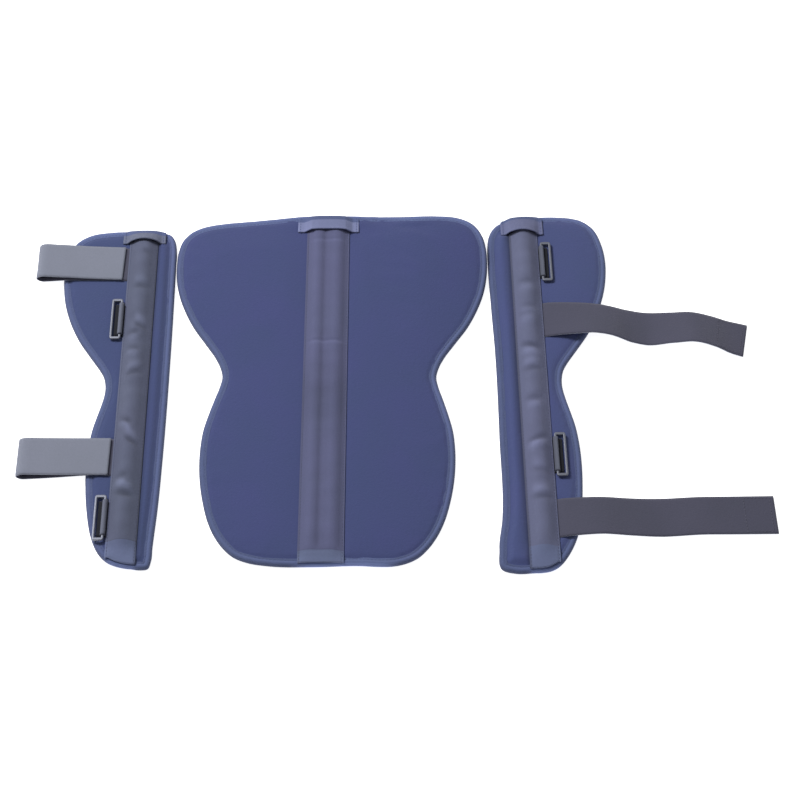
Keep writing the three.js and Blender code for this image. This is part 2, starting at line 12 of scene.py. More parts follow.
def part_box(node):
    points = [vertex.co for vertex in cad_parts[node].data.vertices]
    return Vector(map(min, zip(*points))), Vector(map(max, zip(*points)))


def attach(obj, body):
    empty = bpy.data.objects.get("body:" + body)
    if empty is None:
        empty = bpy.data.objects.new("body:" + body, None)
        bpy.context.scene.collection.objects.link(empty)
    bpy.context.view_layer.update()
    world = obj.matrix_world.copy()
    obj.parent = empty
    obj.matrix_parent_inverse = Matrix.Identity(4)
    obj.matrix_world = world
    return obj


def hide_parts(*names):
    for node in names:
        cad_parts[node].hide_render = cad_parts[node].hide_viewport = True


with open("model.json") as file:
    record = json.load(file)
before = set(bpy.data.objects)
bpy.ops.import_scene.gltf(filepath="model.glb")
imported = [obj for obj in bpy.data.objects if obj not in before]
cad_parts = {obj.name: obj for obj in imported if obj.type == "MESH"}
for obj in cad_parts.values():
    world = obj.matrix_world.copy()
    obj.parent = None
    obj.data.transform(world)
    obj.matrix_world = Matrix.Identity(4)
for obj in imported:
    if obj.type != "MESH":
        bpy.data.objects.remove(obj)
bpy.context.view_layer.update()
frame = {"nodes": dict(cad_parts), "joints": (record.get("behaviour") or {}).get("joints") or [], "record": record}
nodes = frame["nodes"]
scene = bpy.context.scene
MM = 0.001

# Camera
# The photograph looks down on the opened splint from its foot end, with a long lens.
CAMERA_ELEVATION = math.radians(55)
CAMERA_DISTANCE = 2.483
CAMERA_TARGET = Vector((8.5 * MM, -18.8 * MM, 0))
CAMERA_LENS = 95.5

lens = bpy.data.cameras.new("camera")
lens.lens = CAMERA_LENS
camera = bpy.data.objects.new("camera", lens)
towards_camera = Vector((0, -math.cos(CAMERA_ELEVATION), math.sin(CAMERA_ELEVATION)))
camera.location = CAMERA_TARGET + towards_camera * CAMERA_DISTANCE
camera.rotation_euler = towards_camera.to_track_quat("Z", "Y").to_euler()
scene.collection.objects.link(camera)
scene.camera = camera

# Table and light
# A plain white table under a broad soft light from the upper left, with a bright room around
# it, so that the shadows stay faint.
TABLE = {"size": 30, "drop": 0.4 * MM, "colour": (0.93, 0.93, 0.94, 1), "roughness": 0.9, "glow": 0.8}
WHITE = (1, 1, 1, 1)
ROOM_LIGHT = 0.36
KEY_LIGHT = {"place": Vector((-1.5, 1.0, 2.4)), "size": 1.1, "power": 84}


def new_material(name):
    """A material with its node tree, Principled shader and Object coordinates."""
    material = bpy.data.materials.new(name)
    material.use_nodes = True
    tree = material.node_tree
    shader = tree.nodes["Principled BSDF"]
    coordinates = tree.nodes.new("ShaderNodeTexCoord")
    return material, tree, shader, coordinates


table_white, _, table_shader, _ = new_material("table_white")
table_shader.inputs["Base Color"].default_value = TABLE["colour"]
table_shader.inputs["Roughness"].default_value = TABLE["roughness"]
table_shader.inputs["Emission Color"].default_value = WHITE
table_shader.inputs["Emission Strength"].default_value = TABLE["glow"]

half_table = TABLE["size"] / 2
table_mesh = bpy.data.meshes.new("table")
table_corners = [(-1, -1), (1, -1), (1, 1), (-1, 1)]
table_places = [(x * half_table, y * half_table, -TABLE["drop"]) for x, y in table_corners]
table_mesh.from_pydata(table_places, [], [(0, 1, 2, 3)])
table_mesh.materials.append(table_white)
table = bpy.data.objects.new("table", table_mesh)
scene.collection.objects.link(table)

key = bpy.data.lights.new("key", "AREA")
key.shape = "DISK"
key.size = KEY_LIGHT["size"]
key.energy = KEY_LIGHT["power"]
key_lamp = bpy.data.objects.new("key", key)
key_lamp.location = KEY_LIGHT["place"]
key_lamp.rotation_euler = KEY_LIGHT["place"].to_track_quat("Z", "Y").to_euler()
scene.collection.objects.link(key_lamp)

scene.world = bpy.data.worlds.new("room")
scene.world.use_nodes = True
room = scene.world.node_tree.nodes["Background"]
room.inputs["Color"].default_value = WHITE
room.inputs["Strength"].default_value = ROOM_LIGHT
scene.view_settings.view_transform = "Standard"

# Padded panels
# Each panel is foam, about 8 mm thick, faced on both sides with navy loop cloth. Its edge is
# pinched into the binding, and the tape and webbing sewn on it press the foam down, so that it
# swells between them.
FOAM_TOP = 8 * MM
UPPER_SIDE = {"tilt": 0.3, "height": 5 * MM}
RIM = {"width": 9.2 * MM, "height": 5.9 * MM, "slope": 0.8, "reach": 13.8 * MM, "step": 3 * MM}
RIM_EDGE = {"underside": -0.9, "wall": 0.3}
CLEAR_OF_WEBBING = 0.5 * MM
SWELL_SLOPE = 0.4
WELD_DISTANCE = 0.01 * MM
TINY = 1e-9
CURVE_STEPS = 12
INFLATION = {"quality": 5, "mass": 0.3, "pressure": 4, "frames": 20}
CLOTH_SPECULAR = 0.25
SHEEN_ROUGHNESS = 0.6
DRIFT_NOISE = {"scale": 16, "detail": 3}
FLECK_NOISE = {"scale": 420, "detail": 2}
HUE_SHIFT = 0.12
PILE_CLOTH = {"drift": 0.16, "fleck": 0.1, "roughness": 0.95, "sheen": 0.12}
PILE = {"depth": 0.35 * MM, "curl": -0.6, "nap_scale": 0.35, "nap_detail": 4}
PANEL_LOOP = 1.1 * MM
# The right panel's cloth is a little lighter and bluer than the other two: partly its own colour, partly painted
# light that makes up for the key light, which falls more on the left.
PANELS = {
    "posterior": {"voxel": 4 * MM, "swell": 2.2 * MM, "colour": (62, 70, 114)},
    "left": {"voxel": 3 * MM, "swell": 3.4 * MM, "roll": 1.6 * MM, "colour": (61, 71, 111)},
    "right": {"voxel": 3 * MM, "swell": 3.4 * MM, "roll": 3.2 * MM, "colour": (67, 76, 120)},
}
ROLL = {"start": 18 * MM, "power": 0.8}
TOP_ARCH = {"height": 3.6 * MM, "shift": 8 * MM, "half_width": 66 * MM, "depth": 26 * MM}
SEAM_SHADE = {"across": -17.5 * MM, "half_width": 2.2 * MM, "tone": -0.4}
POCKET_PIECES = ["stay_pocket", "pocket_cap"]
SIDE_PIECES = POCKET_PIECES + ["strap_upper", "strap_lower", "chape_upper", "chape_lower"]
LAID_ON = {"posterior": POCKET_PIECES, "left": SIDE_PIECES, "right": SIDE_PIECES}


def linear(red, green, blue):
    """A colour given in 0 to 255 screen values, as the linear colour that a shader takes."""
    shares = [value / 255 for value in (red, green, blue)]
    return [s / 12.92 if s <= 0.04045 else ((s + 0.055) / 1.055) ** 2.4 for s in shares] + [1]


def new_group(name, inputs, outputs):
    """An empty shader group with its sockets, and its two end nodes."""
    group = bpy.data.node_groups.new(name, "ShaderNodeTree")
    for label, kind in inputs.items():
        group.interface.new_socket(label, in_out="INPUT", socket_type=f"NodeSocket{kind}")
    for label, kind in outputs.items():
        group.interface.new_socket(label, in_out="OUTPUT", socket_type=f"NodeSocket{kind}")
    return group, group.nodes.new("NodeGroupInput"), group.nodes.new("NodeGroupOutput")


def maths(tree, operation, first, second):
    """A Math node, fed by sockets or by plain numbers."""
    made = tree.nodes.new("ShaderNodeMath")
    made.operation = operation
    for socket, value in zip(made.inputs, (first, second)):
        if isinstance(value, bpy.types.NodeSocket):
            tree.links.new(value, socket)
        else:
            socket.default_value = value
    return made.outputs[0]


def noise_texture(tree, vector, scale, detail):
    """A noise field over a vector, fed by a socket or a plain scale."""
    made = tree.nodes.new("ShaderNodeTexNoise")
    made.inputs["Detail"].default_value = detail
    tree.links.new(vector, made.inputs["Vector"])
    if isinstance(scale, bpy.types.NodeSocket):
        tree.links.new(scale, made.inputs["Scale"])
    else:
        made.inputs["Scale"].default_value = scale
    return made.outputs["Factor" if "Factor" in made.outputs else "Fac"]


def wear_and_painted_light_group():
    """Cloth colour that drifts a little over the piece, with a finer fleck in it, made lighter or darker by the
    tone attribute, which carries painted light and shade as well as the cloth's own paler and darker bands.
    """
    group, start, end = new_group(
        "worn_cloth",
        {"Vector": "Vector", "Color": "Color", "Drift": "Float", "Fleck": "Float", "Tone": "Float"},
        {"Color": "Color"},
    )
    steps = []
    for field, amount in ((DRIFT_NOISE, "Drift"), (FLECK_NOISE, "Fleck")):
        centred = maths(group, "SUBTRACT", noise_texture(group, start.outputs["Vector"], **field), 0.5)
        steps.append(maths(group, "MULTIPLY", centred, start.outputs[amount]))
    toned = maths(group, "ADD", start.outputs["Tone"], 1)
    brightness = maths(group, "ADD", maths(group, "ADD", *steps), toned)
    hue_step = maths(group, "MULTIPLY", steps[0], HUE_SHIFT)
    hue = group.nodes.new("ShaderNodeHueSaturation")
    group.links.new(start.outputs["Color"], hue.inputs["Color"])
    group.links.new(brightness, hue.inputs["Value"])
    group.links.new(maths(group, "ADD", hue_step, 0.5), hue.inputs["Hue"])
    group.links.new(hue.outputs["Color"], end.inputs["Color"])
    return group


def pile_group():
    """Height of a brushed loop pile, from loops of a given size."""
    group, start, end = new_group(
        "loop_pile", {"Vector": "Vector", "Loop size": "Float"}, {"Height": "Float"},
    )
    scale = maths(group, "DIVIDE", 1, start.outputs["Loop size"])
    curls = group.nodes.new("ShaderNodeTexVoronoi")
    group.links.new(start.outputs["Vector"], curls.inputs["Vector"])
    group.links.new(scale, curls.inputs["Scale"])
    nap_scale = maths(group, "MULTIPLY", scale, PILE["nap_scale"])
    nap = noise_texture(group, start.outputs["Vector"], nap_scale, PILE["nap_detail"])
    curl = maths(group, "MULTIPLY", curls.outputs["Distance"], PILE["curl"])
    height = maths(group, "ADD", curl, nap)
    group.links.new(height, end.inputs["Height"])
    return group


worn_cloth = wear_and_painted_light_group()
loop_pile = pile_group()


def place_group(tree, group, vector, **values):
    """A group's node in a material, fed with a vector and plain values."""
    made = tree.nodes.new("ShaderNodeGroup")
    made.node_tree = group
    tree.links.new(vector, made.inputs["Vector"])
    for label, value in values.items():
        made.inputs[label.replace("_", " ")].default_value = value
    return made


def bump(tree, shader, height, depth):
    """A relief of a given depth in metres on a shader's normal."""
    made = tree.nodes.new("ShaderNodeBump")
    made.inputs["Distance"].default_value = depth
    tree.links.new(height, made.inputs["Height"])
    tree.links.new(made.outputs["Normal"], shader.inputs["Normal"])


def cloth_base(name, colour, drift, fleck, roughness, sheen):
    """A cloth's colour, roughness and sheen, before its weave."""
    material, tree, shader, coordinates = new_material(name)
    worn_and_lit = place_group(
        tree, worn_cloth, coordinates.outputs["Object"], Color=linear(*colour), Drift=drift, Fleck=fleck,
    )
    # The tone attribute holds painted light and shade besides lighter and darker bands of the cloth's own colour.
    tone = tree.nodes.new("ShaderNodeAttribute")
    tone.attribute_name = "tone"
    tree.links.new(tone.outputs["Fac"], worn_and_lit.inputs["Tone"])
    tree.links.new(worn_and_lit.outputs["Color"], shader.inputs["Base Color"])
    shader.inputs["Roughness"].default_value = roughness
    shader.inputs["Specular IOR Level"].default_value = CLOTH_SPECULAR
    shader.inputs["Sheen Weight"].default_value = sheen
    shader.inputs["Sheen Roughness"].default_value = SHEEN_ROUGHNESS
    return material, tree, shader, coordinates


def pile_cloth(name, colour, loop_size):
    """Brushed loop cloth."""
    material, tree, shader, coordinates = cloth_base(name, colour, **PILE_CLOTH)
    pile = place_group(tree, loop_pile, coordinates.outputs["Object"], Loop_size=loop_size)
    bump(tree, shader, pile.outputs["Height"], PILE["depth"])
    return material


def welded(node):
    """A copy of a solid with its shared corners joined."""
    shell = bmesh.new()
    shell.from_mesh(nodes[node].data)
    bmesh.ops.remove_doubles(shell, verts=shell.verts, dist=WELD_DISTANCE)
    shell.normal_update()
    return shell


def solid_tree(node):
    """A search tree over a solid's faces."""
    shell = welded(node)
    found = BVHTree.FromBMesh(shell)
    shell.free()
    return found


def run_along(points):
    """The distance run at each point of a path."""
    steps = np.linalg.norm(np.diff(points, axis=0), axis=1)
    return np.concatenate([[0], np.cumsum(steps)])


def evenly_spaced(points, spacing, closed):
    """A smooth curve through the points, at an even spacing, with the distance run at each point."""
    points = np.array(points, float)
    if closed:
        points = np.vstack([points, points[:1]])
    chords = np.linalg.norm(np.diff(points, axis=0), axis=1)
    slopes = np.diff(points, axis=0) / chords[:, None]
    tangents = np.empty_like(points)
    weight = (chords[1:] / (chords[1:] + chords[:-1]))[:, None]
    tangents[1:-1] = slopes[:-1] * weight + slopes[1:] * (1 - weight)
    ends = (slopes[0] + slopes[-1]) / 2
    tangents[0] = ends if closed else slopes[0]
    tangents[-1] = ends if closed else slopes[-1]
    fine = []
    for k, chord in enumerate(chords):
        for t in np.linspace(0, 1, CURVE_STEPS, endpoint=False):
            start = points[k] * (2 * t**3 - 3 * t**2 + 1) + tangents[k] * chord * (t**3 - 2 * t**2 + t)
            end = points[k + 1] * (3 * t**2 - 2 * t**3) + tangents[k + 1] * chord * (t**3 - t**2)
            fine.append(start + end)
    fine = np.array(fine + [points[-1]])
    reach = run_along(fine)
    count = max(2, round(reach[-1] / spacing))
    stations = np.linspace(0, reach[-1], count + 1)
    even = np.stack([np.interp(stations, reach, fine[:, axis]) for axis in range(fine.shape[1])], axis=1)
    return (even[:-1], stations) if closed else (even, stations)


def rim_path(node, spacing):
    """The outer lower edge of a binding, counter-clockwise from its top, with the distance run."""
    shell = welded(node)
    rim = set()
    for edge in shell.edges:
        tilts = sorted(face.normal.z for face in edge.link_faces)
        if tilts[0] < RIM_EDGE["underside"] and abs(tilts[-1]) < RIM_EDGE["wall"]:
            rim.add(edge)
    loops = []
    while rim:
        edge = rim.pop()
        start, corner = edge.verts
        loop = [start.co.copy()]
        while corner is not start:
            loop.append(corner.co.copy())
            edge = next(other for other in corner.link_edges if other in rim)
            rim.remove(edge)
            corner = edge.other_vert(corner)
        loops.append(loop)
    shell.free()
    outer = np.array(max(loops, key=lambda loop: max(p.x for p in loop) - min(p.x for p in loop)))
    ahead = np.roll(outer, -1, axis=0)
    area = np.sum(outer[:, 0] * ahead[:, 1] - ahead[:, 0] * outer[:, 1])
    outer = outer if area > 0 else outer[::-1]
    top = np.lexsort((outer[:, 0], outer[:, 1]))[-1]
    return evenly_spaced(np.roll(outer, -top, axis=0), spacing, closed=True)


def set_tone(mesh, tone):
    """Keeps a lighter or darker share of the colour on each vertex."""
    layer = mesh.attributes.new("tone", "FLOAT", "POINT")
    layer.data.foreach_set("value", np.asarray(tone, np.float32).ravel())


def panel_axes(panel):
    """The directions along a panel towards the thigh and across it, outwards on the side panels."""
    hinge = next((joint for joint in frame["joints"] if joint["name"].startswith(panel)), None)
    along = np.array(hinge["axis"]) if hinge else np.array([0, 1.0, 0])
    along = along if along[1] > 0 else -along
    outwards = np.array([along[1], -along[0], 0])
    return along, -outwards if panel == "left" else outwards


def vertex_places(mesh):
    """The places of a mesh's vertices as an array."""
    places = np.empty(len(mesh.vertices) * 3, np.float32)
    mesh.vertices.foreach_get("co", places)
    return places.reshape(-1, 3).astype(float)


def inflated(pad, sewn):
    """Where the pad's points go when the cloth is blown up a little between its sewn points."""
    group = pad.vertex_groups.new(name="sewn")
    group.add([int(k) for k in np.flatnonzero(sewn)], 1, "REPLACE")
    cloth = pad.modifiers.new("inflate", "CLOTH")
    cloth.settings.quality = INFLATION["quality"]
    cloth.settings.mass = INFLATION["mass"]
    cloth.settings.use_pressure = True
    cloth.settings.uniform_pressure_force = INFLATION["pressure"]
    cloth.settings.effector_weights.gravity = 0
    cloth.settings.vertex_group_mass = group.name
    cloth.collision_settings.use_collision = False
    cloth.point_cache.frame_start = 1
    cloth.point_cache.frame_end = INFLATION["frames"]
    for number in range(1, INFLATION["frames"] + 1):
        scene.frame_set(number)
    places = vertex_places(pad.evaluated_get(bpy.context.evaluated_depsgraph_get()).data)
    pad.modifiers.remove(cloth)
    pad.vertex_groups.remove(group)
    scene.frame_set(1)
    return places


def lowest_over(places, panel):
    """Height of the lowest underside over each point of a panel, with a pocket counted from its seams."""
    heights = np.full(len(places), np.inf)
    for laid in LAID_ON[panel]:
        tree = solid_tree(f"{panel}_{laid}")
        for k, (x, y, _) in enumerate(places):
            hit = tree.ray_cast(Vector((x, y, -1)), Vector((0, 0, 1)))[0]
            if hit is None:
                continue
            seam = FOAM_TOP if laid in POCKET_PIECES else hit.z
            heights[k] = min(heights[k], seam, hit.z)
    return heights


def nearest_of(targets, places):
    """Number of the nearest target in plan for each place, and its distance."""
    finder = KDTree(len(targets))
    for k, (x, y) in enumerate(targets[:, :2]):
        finder.insert((x, y, 0), k)
    finder.balance()
    found = [finder.find((x, y, 0)) for x, y in places[:, :2]]
    return np.array([hit[1] for hit in found]), np.array([hit[2] for hit in found])


def finish_piece(name, mesh, materials, stands_for, body="splint"):
    """A mesh as a piece of the splint, in the place of its plain solids."""
    piece = bpy.data.objects.new(name, mesh)
    for material in materials:
        mesh.materials.append(material)
    scene.collection.objects.link(piece)
    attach(piece, body)
    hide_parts(*stands_for)
    return piece


def subdivided(piece, levels):
    """A piece with a live subdivision surface."""
    smooth = piece.modifiers.new("smooth", "SUBSURF")
    smooth.levels = levels
    smooth.render_levels = levels
    return piece


def remeshed(node, voxel):
    """A solid's copy in even quads."""
    shell = welded(node)
    mesh = bpy.data.meshes.new(node)
    shell.to_mesh(mesh)
    shell.free()
    source = bpy.data.objects.new(node, mesh)
    scene.collection.objects.link(source)
    remesh = source.modifiers.new("even", "REMESH")
    remesh.mode = "VOXEL"
    remesh.voxel_size = voxel
    depsgraph = bpy.context.evaluated_depsgraph_get()
    even = bpy.data.meshes.new_from_object(source.evaluated_get(depsgraph))
    bpy.data.objects.remove(source)
    return even


def bell(off, half_width, power=2):
    """A soft hump, 1 at its middle and nearly 0 past its half width."""
    return np.exp(-((off / half_width) ** power))


def top_arch(places):
    """How far the posterior panel's top edge is drawn up, where its binding runs over the cap."""
    low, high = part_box("posterior_pocket_cap")
    across = places[..., 0] - (low.x + high.x) / 2 - TOP_ARCH["shift"]
    along = np.clip((places[..., 1] - high.y) / TOP_ARCH["depth"] + 1, 0, 1)
    return TOP_ARCH["height"] * bell(across, TOP_ARCH["half_width"], 4) * along**2


rims = {panel: rim_path(f"{panel}_binding", RIM["step"])[0] for panel in PANELS}
for panel, size in PANELS.items():
    mesh = remeshed(f"{panel}_panel", size["voxel"])
    mesh.shade_smooth()
    cloth = pile_cloth(f"{panel}_loop_cloth", size["colour"], PANEL_LOOP)
    pad = finish_piece(f"{panel}_pad", mesh, [cloth], [f"{panel}_panel"])
    rest = vertex_places(mesh)
    normals = np.empty(len(rest) * 3, np.float32)
    mesh.vertex_normals.foreach_get("vector", normals)
    upward = (normals.reshape(-1, 3)[:, 2] > UPPER_SIDE["tilt"]) | (rest[:, 2] > UPPER_SIDE["height"])
    rim = rims[panel]
    on_rim, inset = nearest_of(rim, rest)
    over = lowest_over(rest, panel)
    over[~upward] = np.inf
    from_binding = np.maximum(inset - RIM["width"], 0)
    sewn = ~upward | (inset < RIM["width"]) | (over < FOAM_TOP + CLEAR_OF_WEBBING)
    swollen = inflated(pad, sewn)
    room = np.minimum(size["swell"], SWELL_SLOPE * nearest_of(rest[sewn & upward], rest)[1])
    step = swollen - rest
    length = np.linalg.norm(step, axis=1)
    step *= (np.minimum(length, room) / np.maximum(length, TINY))[:, None]
    places = rest + np.where(upward[:, None], step, 0)
    tone = np.zeros(len(rest))
    if panel != "posterior":
        along, outwards = panel_axes(panel)
        low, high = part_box(f"{panel}_stay_pocket")
        across = (rest - np.array((low + high) / 2)) @ outwards
        from_pocket = np.maximum(-across - ROLL["start"], 0)
        share = from_pocket / np.maximum(from_pocket + from_binding, TINY)
        roll = size["roll"] * np.sin(math.pi * share) ** ROLL["power"]
        strip = upward & (share > 0)
        places[strip, 2] = np.maximum(places[strip, 2], FOAM_TOP + roll[strip])
        # Painted shade along the pocket's inner seam, where the foam dips into a crease.
        seam = bell(across - SEAM_SHADE["across"], SEAM_SHADE["half_width"])
        tone += SEAM_SHADE["tone"] * seam * upward
    lifted = np.where(inset < RIM["reach"], rim[on_rim, 2], rest[:, 2] - FOAM_TOP)
    rim_top = RIM["height"] + np.maximum(lifted, 0) + RIM["slope"] * from_binding
    ceiling = np.minimum(rim_top, over - CLEAR_OF_WEBBING)
    places[upward, 2] = np.minimum(places[:, 2], ceiling)[upward]
    if panel == "posterior":
        arch = np.minimum(top_arch(rest), np.maximum(over - FOAM_TOP, 0))
        places[upward, 2] += arch[upward]
    places[:, 2] = np.maximum(places[:, 2], 0)
    mesh.vertices.foreach_set("co", places.astype(np.float32).ravel())
    mesh.update()
    set_tone(mesh, tone)
    subdivided(pad, 1)

# Edge binding
# A woven tape, about 25 mm wide, folded over the pinched edge of each panel and sewn down
# through all layers, so that it ripples a little, with a groove along its seam.
BINDING_THICKNESS = 0.8 * MM
BINDING_DROP = 0.8 * MM
BINDING_GRID = {"along": 2 * MM, "across": 0.9 * MM}
BINDING_WEAVE = {"across": 0.9 * MM, "along": 0.8 * MM, "depth": 0.12 * MM}
WOVEN_CLOTH = {"drift": 0.14, "fleck": 0.12, "roughness": 0.85, "sheen": 0.08}
BINDING_RIPPLE = {"height": 0.45 * MM, "per_metre": 95}
# The tone column is painted shade on the underside and outer wall, which turn away from the light, painted light
# along the top of the fold and a little painted shade at the inner edge.
BINDING_SECTION = [
    {"inset": 9.0, "height": 0.9, "ripple": 0, "tone": -0.5},
    {"inset": 5.0, "height": 0.9, "ripple": 0, "tone": -0.5},
    {"inset": 2.0, "height": 0.95, "ripple": 0, "tone": -0.5},
    {"inset": 0.5, "height": 1.7, "ripple": 0, "tone": -0.5},
    {"inset": 0.0, "height": 3.6, "ripple": 0.2, "tone": -0.4},
    {"inset": 0.5, "height": 5.7, "ripple": 0.5, "tone": -0.3},
    {"inset": 1.8, "height": 7.1, "ripple": 0.9, "tone": -0.1},
    {"inset": 3.6, "height": 7.6, "ripple": 1, "tone": 0.12},
    {"inset": 5.3, "height": 7.3, "ripple": 0.8, "tone": 0.16},
    {"inset": 6.6, "height": 6.75, "ripple": 0.3, "tone": 0},
    {"inset": 7.6, "height": 7.15, "ripple": 0.7, "tone": -0.04},
    {"inset": 8.7, "height": 7.1, "ripple": 1, "tone": -0.08},
    {"inset": 9.2, "height": 6.7, "ripple": 1, "tone": -0.15},
]
TONE_SCALE = 0.1 * MM
BINDING_SEAM = 6.6 * MM
TOP_EDGE_PAINTED_LIGHT = 0.42
# Where the pocket's foot meets the binding, the binding is paler, as the tape's end runs over it; on its outer
# wall, which turns away from the light, the lightening is painted light as well.
POCKET_FOOT = {
    "posterior": {"beyond": 55 * MM, "top_tone": 0.3, "wall_painted_light": 0.9},
    "left": {"beyond": 0, "top_tone": 0.25, "wall_painted_light": 0.5},
    "right": {"beyond": 0, "top_tone": 0.25, "wall_painted_light": 0.5},
}
FOOT_DEPTH = 2 * MM
FOOT_FADE = 8
WALL_INSET = 2 * MM
CORNER_STEPS = 5
THREAD = {"pitch": 4.2 * MM, "length": 3.4 * MM, "thickness": 0.75 * MM, "lift": 0.1 * MM}
THREAD_FACES = {"segments": 8, "rings": 5}
THREAD_WEAVE = {"across": 0.3 * MM, "along": 0.3 * MM, "depth": 0.05 * MM}
STITCH_SHARE = {"least": 0.88, "most": 1.08, "seed": 7}


def weave_group():
    """Height of crossing threads, over a map in metres, from the pitch of the threads each way."""
    group, start, end = new_group(
        "crossing_threads", {"Vector": "Vector", "Across": "Float", "Along": "Float"}, {"Height": "Float"},
    )
    split = group.nodes.new("ShaderNodeSeparateXYZ")
    group.links.new(start.outputs["Vector"], split.inputs[0])
    waves = []
    for axis, pitch in (("X", "Across"), ("Y", "Along")):
        turns = maths(group, "DIVIDE", split.outputs[axis], start.outputs[pitch])
        waves.append(maths(group, "SINE", maths(group, "MULTIPLY", turns, 2 * math.pi), 0))
    half_height = maths(group, "MULTIPLY", maths(group, "MULTIPLY", *waves), 0.5)
    group.links.new(maths(group, "ADD", half_height, 0.5), end.inputs["Height"])
    return group


crossing_threads = weave_group()


def woven_cloth(name, colour, across, along, depth):
    """Woven tape or webbing, with its threads on the piece's own map."""
    material, tree, shader, coordinates = cloth_base(name, colour, **WOVEN_CLOTH)
    weave = place_group(tree, crossing_threads, coordinates.outputs["UV"], Across=across, Along=along)
    bump(tree, shader, weave.outputs["Height"], depth)
    return material


def sheet_mesh(name, rows, across, along, closed=False, tone=0):
    """A sheet of quads through rows of points, mapped by its own size in metres."""
    count, columns = rows.shape[:2]
    faces = []
    corners = []
    for i in range(count if closed else count - 1):
        near = i * columns
        far = (i + 1) % count * columns
        for j in range(columns - 1):
            faces.append((near + j, far + j, far + j + 1, near + j + 1))
            corners += [
                (across[j], along[i]), (across[j], along[i + 1]),
                (across[j + 1], along[i + 1]), (across[j + 1], along[i]),
            ]
    mesh = bpy.data.meshes.new(name)
    mesh.from_pydata(rows.reshape(-1, 3).tolist(), [], faces)
    layer = mesh.uv_layers.new(name="cut")
    layer.data.foreach_set("uv", np.array(corners, np.float32).ravel())
    set_tone(mesh, np.broadcast_to(tone, rows.shape[:2]))
    mesh.shade_smooth()
    return mesh


def thickened(piece, thickness):
    """A piece with a live wall behind its outer face."""
    wall = piece.modifiers.new("wall", "SOLIDIFY")
    wall.thickness = thickness
    wall.offset = -1
    wall.use_even_offset = True
    return piece


def stitch_tree():
    """Stitches along every run of a seam mesh, one rounded thread for each pitch."""
    tree = bpy.data.node_groups.new("stitch_run", "GeometryNodeTree")
    sockets = {}
    tree.interface.new_socket("Seam", in_out="INPUT", socket_type="NodeSocketGeometry")
    for label in ("Pitch", "Length", "Thickness"):
        made = tree.interface.new_socket(label, in_out="INPUT", socket_type="NodeSocketFloat")
        sockets[label] = made.identifier
    made = tree.interface.new_socket("Thread", in_out="INPUT", socket_type="NodeSocketMaterial")
    sockets["Thread"] = made.identifier
    tree.interface.new_socket("Stitches", in_out="OUTPUT", socket_type="NodeSocketGeometry")
    start = tree.nodes.new("NodeGroupInput")
    end = tree.nodes.new("NodeGroupOutput")
    curve = tree.nodes.new("GeometryNodeMeshToCurve")
    resample = tree.nodes.new("GeometryNodeResampleCurve")
    resample.mode = "LENGTH"
    tangent = tree.nodes.new("GeometryNodeInputTangent")
    aim = tree.nodes.new("FunctionNodeAlignRotationToVector")
    aim.axis = "X"
    thread = tree.nodes.new("GeometryNodeMeshUVSphere")
    thread.inputs["Segments"].default_value = THREAD_FACES["segments"]
    thread.inputs["Rings"].default_value = THREAD_FACES["rings"]
    thread.inputs["Radius"].default_value = 0.5
    size = tree.nodes.new("ShaderNodeCombineXYZ")
    uneven = tree.nodes.new("FunctionNodeRandomValue")
    uneven.data_type = "FLOAT"
    uneven.inputs[2].default_value = STITCH_SHARE["least"]
    uneven.inputs[3].default_value = STITCH_SHARE["most"]
    uneven.inputs["Seed"].default_value = STITCH_SHARE["seed"]
    length = tree.nodes.new("ShaderNodeMath")
    length.operation = "MULTIPLY"
    instance = tree.nodes.new("GeometryNodeInstanceOnPoints")
    realize = tree.nodes.new("GeometryNodeRealizeInstances")
    smooth = tree.nodes.new("GeometryNodeSetShadeSmooth")
    finish = tree.nodes.new("GeometryNodeSetMaterial")
    links = [
        (start.outputs["Seam"], curve.inputs["Mesh"]),
        (curve.outputs["Curve"], resample.inputs["Curve"]),
        (start.outputs["Pitch"], resample.inputs["Length"]),
        (resample.outputs["Curve"], instance.inputs["Points"]),
        (thread.outputs["Mesh"], instance.inputs["Instance"]),
        (tangent.outputs["Tangent"], aim.inputs["Vector"]),
        (aim.outputs["Rotation"], instance.inputs["Rotation"]),
        (start.outputs["Length"], length.inputs[0]),
        (uneven.outputs[1], length.inputs[1]),
        (length.outputs[0], size.inputs["X"]),
        (start.outputs["Thickness"], size.inputs["Y"]),
        (start.outputs["Thickness"], size.inputs["Z"]),
        (size.outputs["Vector"], instance.inputs["Scale"]),
        (instance.outputs["Instances"], realize.inputs["Geometry"]),
        (realize.outputs["Geometry"], smooth.inputs["Geometry"]),
        (smooth.outputs["Geometry"], finish.inputs["Geometry"]),
        (start.outputs["Thread"], finish.inputs["Material"]),
        (finish.outputs["Geometry"], end.inputs["Stitches"]),
    ]
    for source, target in links:
        tree.links.new(source, target)
    return tree, sockets


stitch_run, stitch_sockets = stitch_tree()


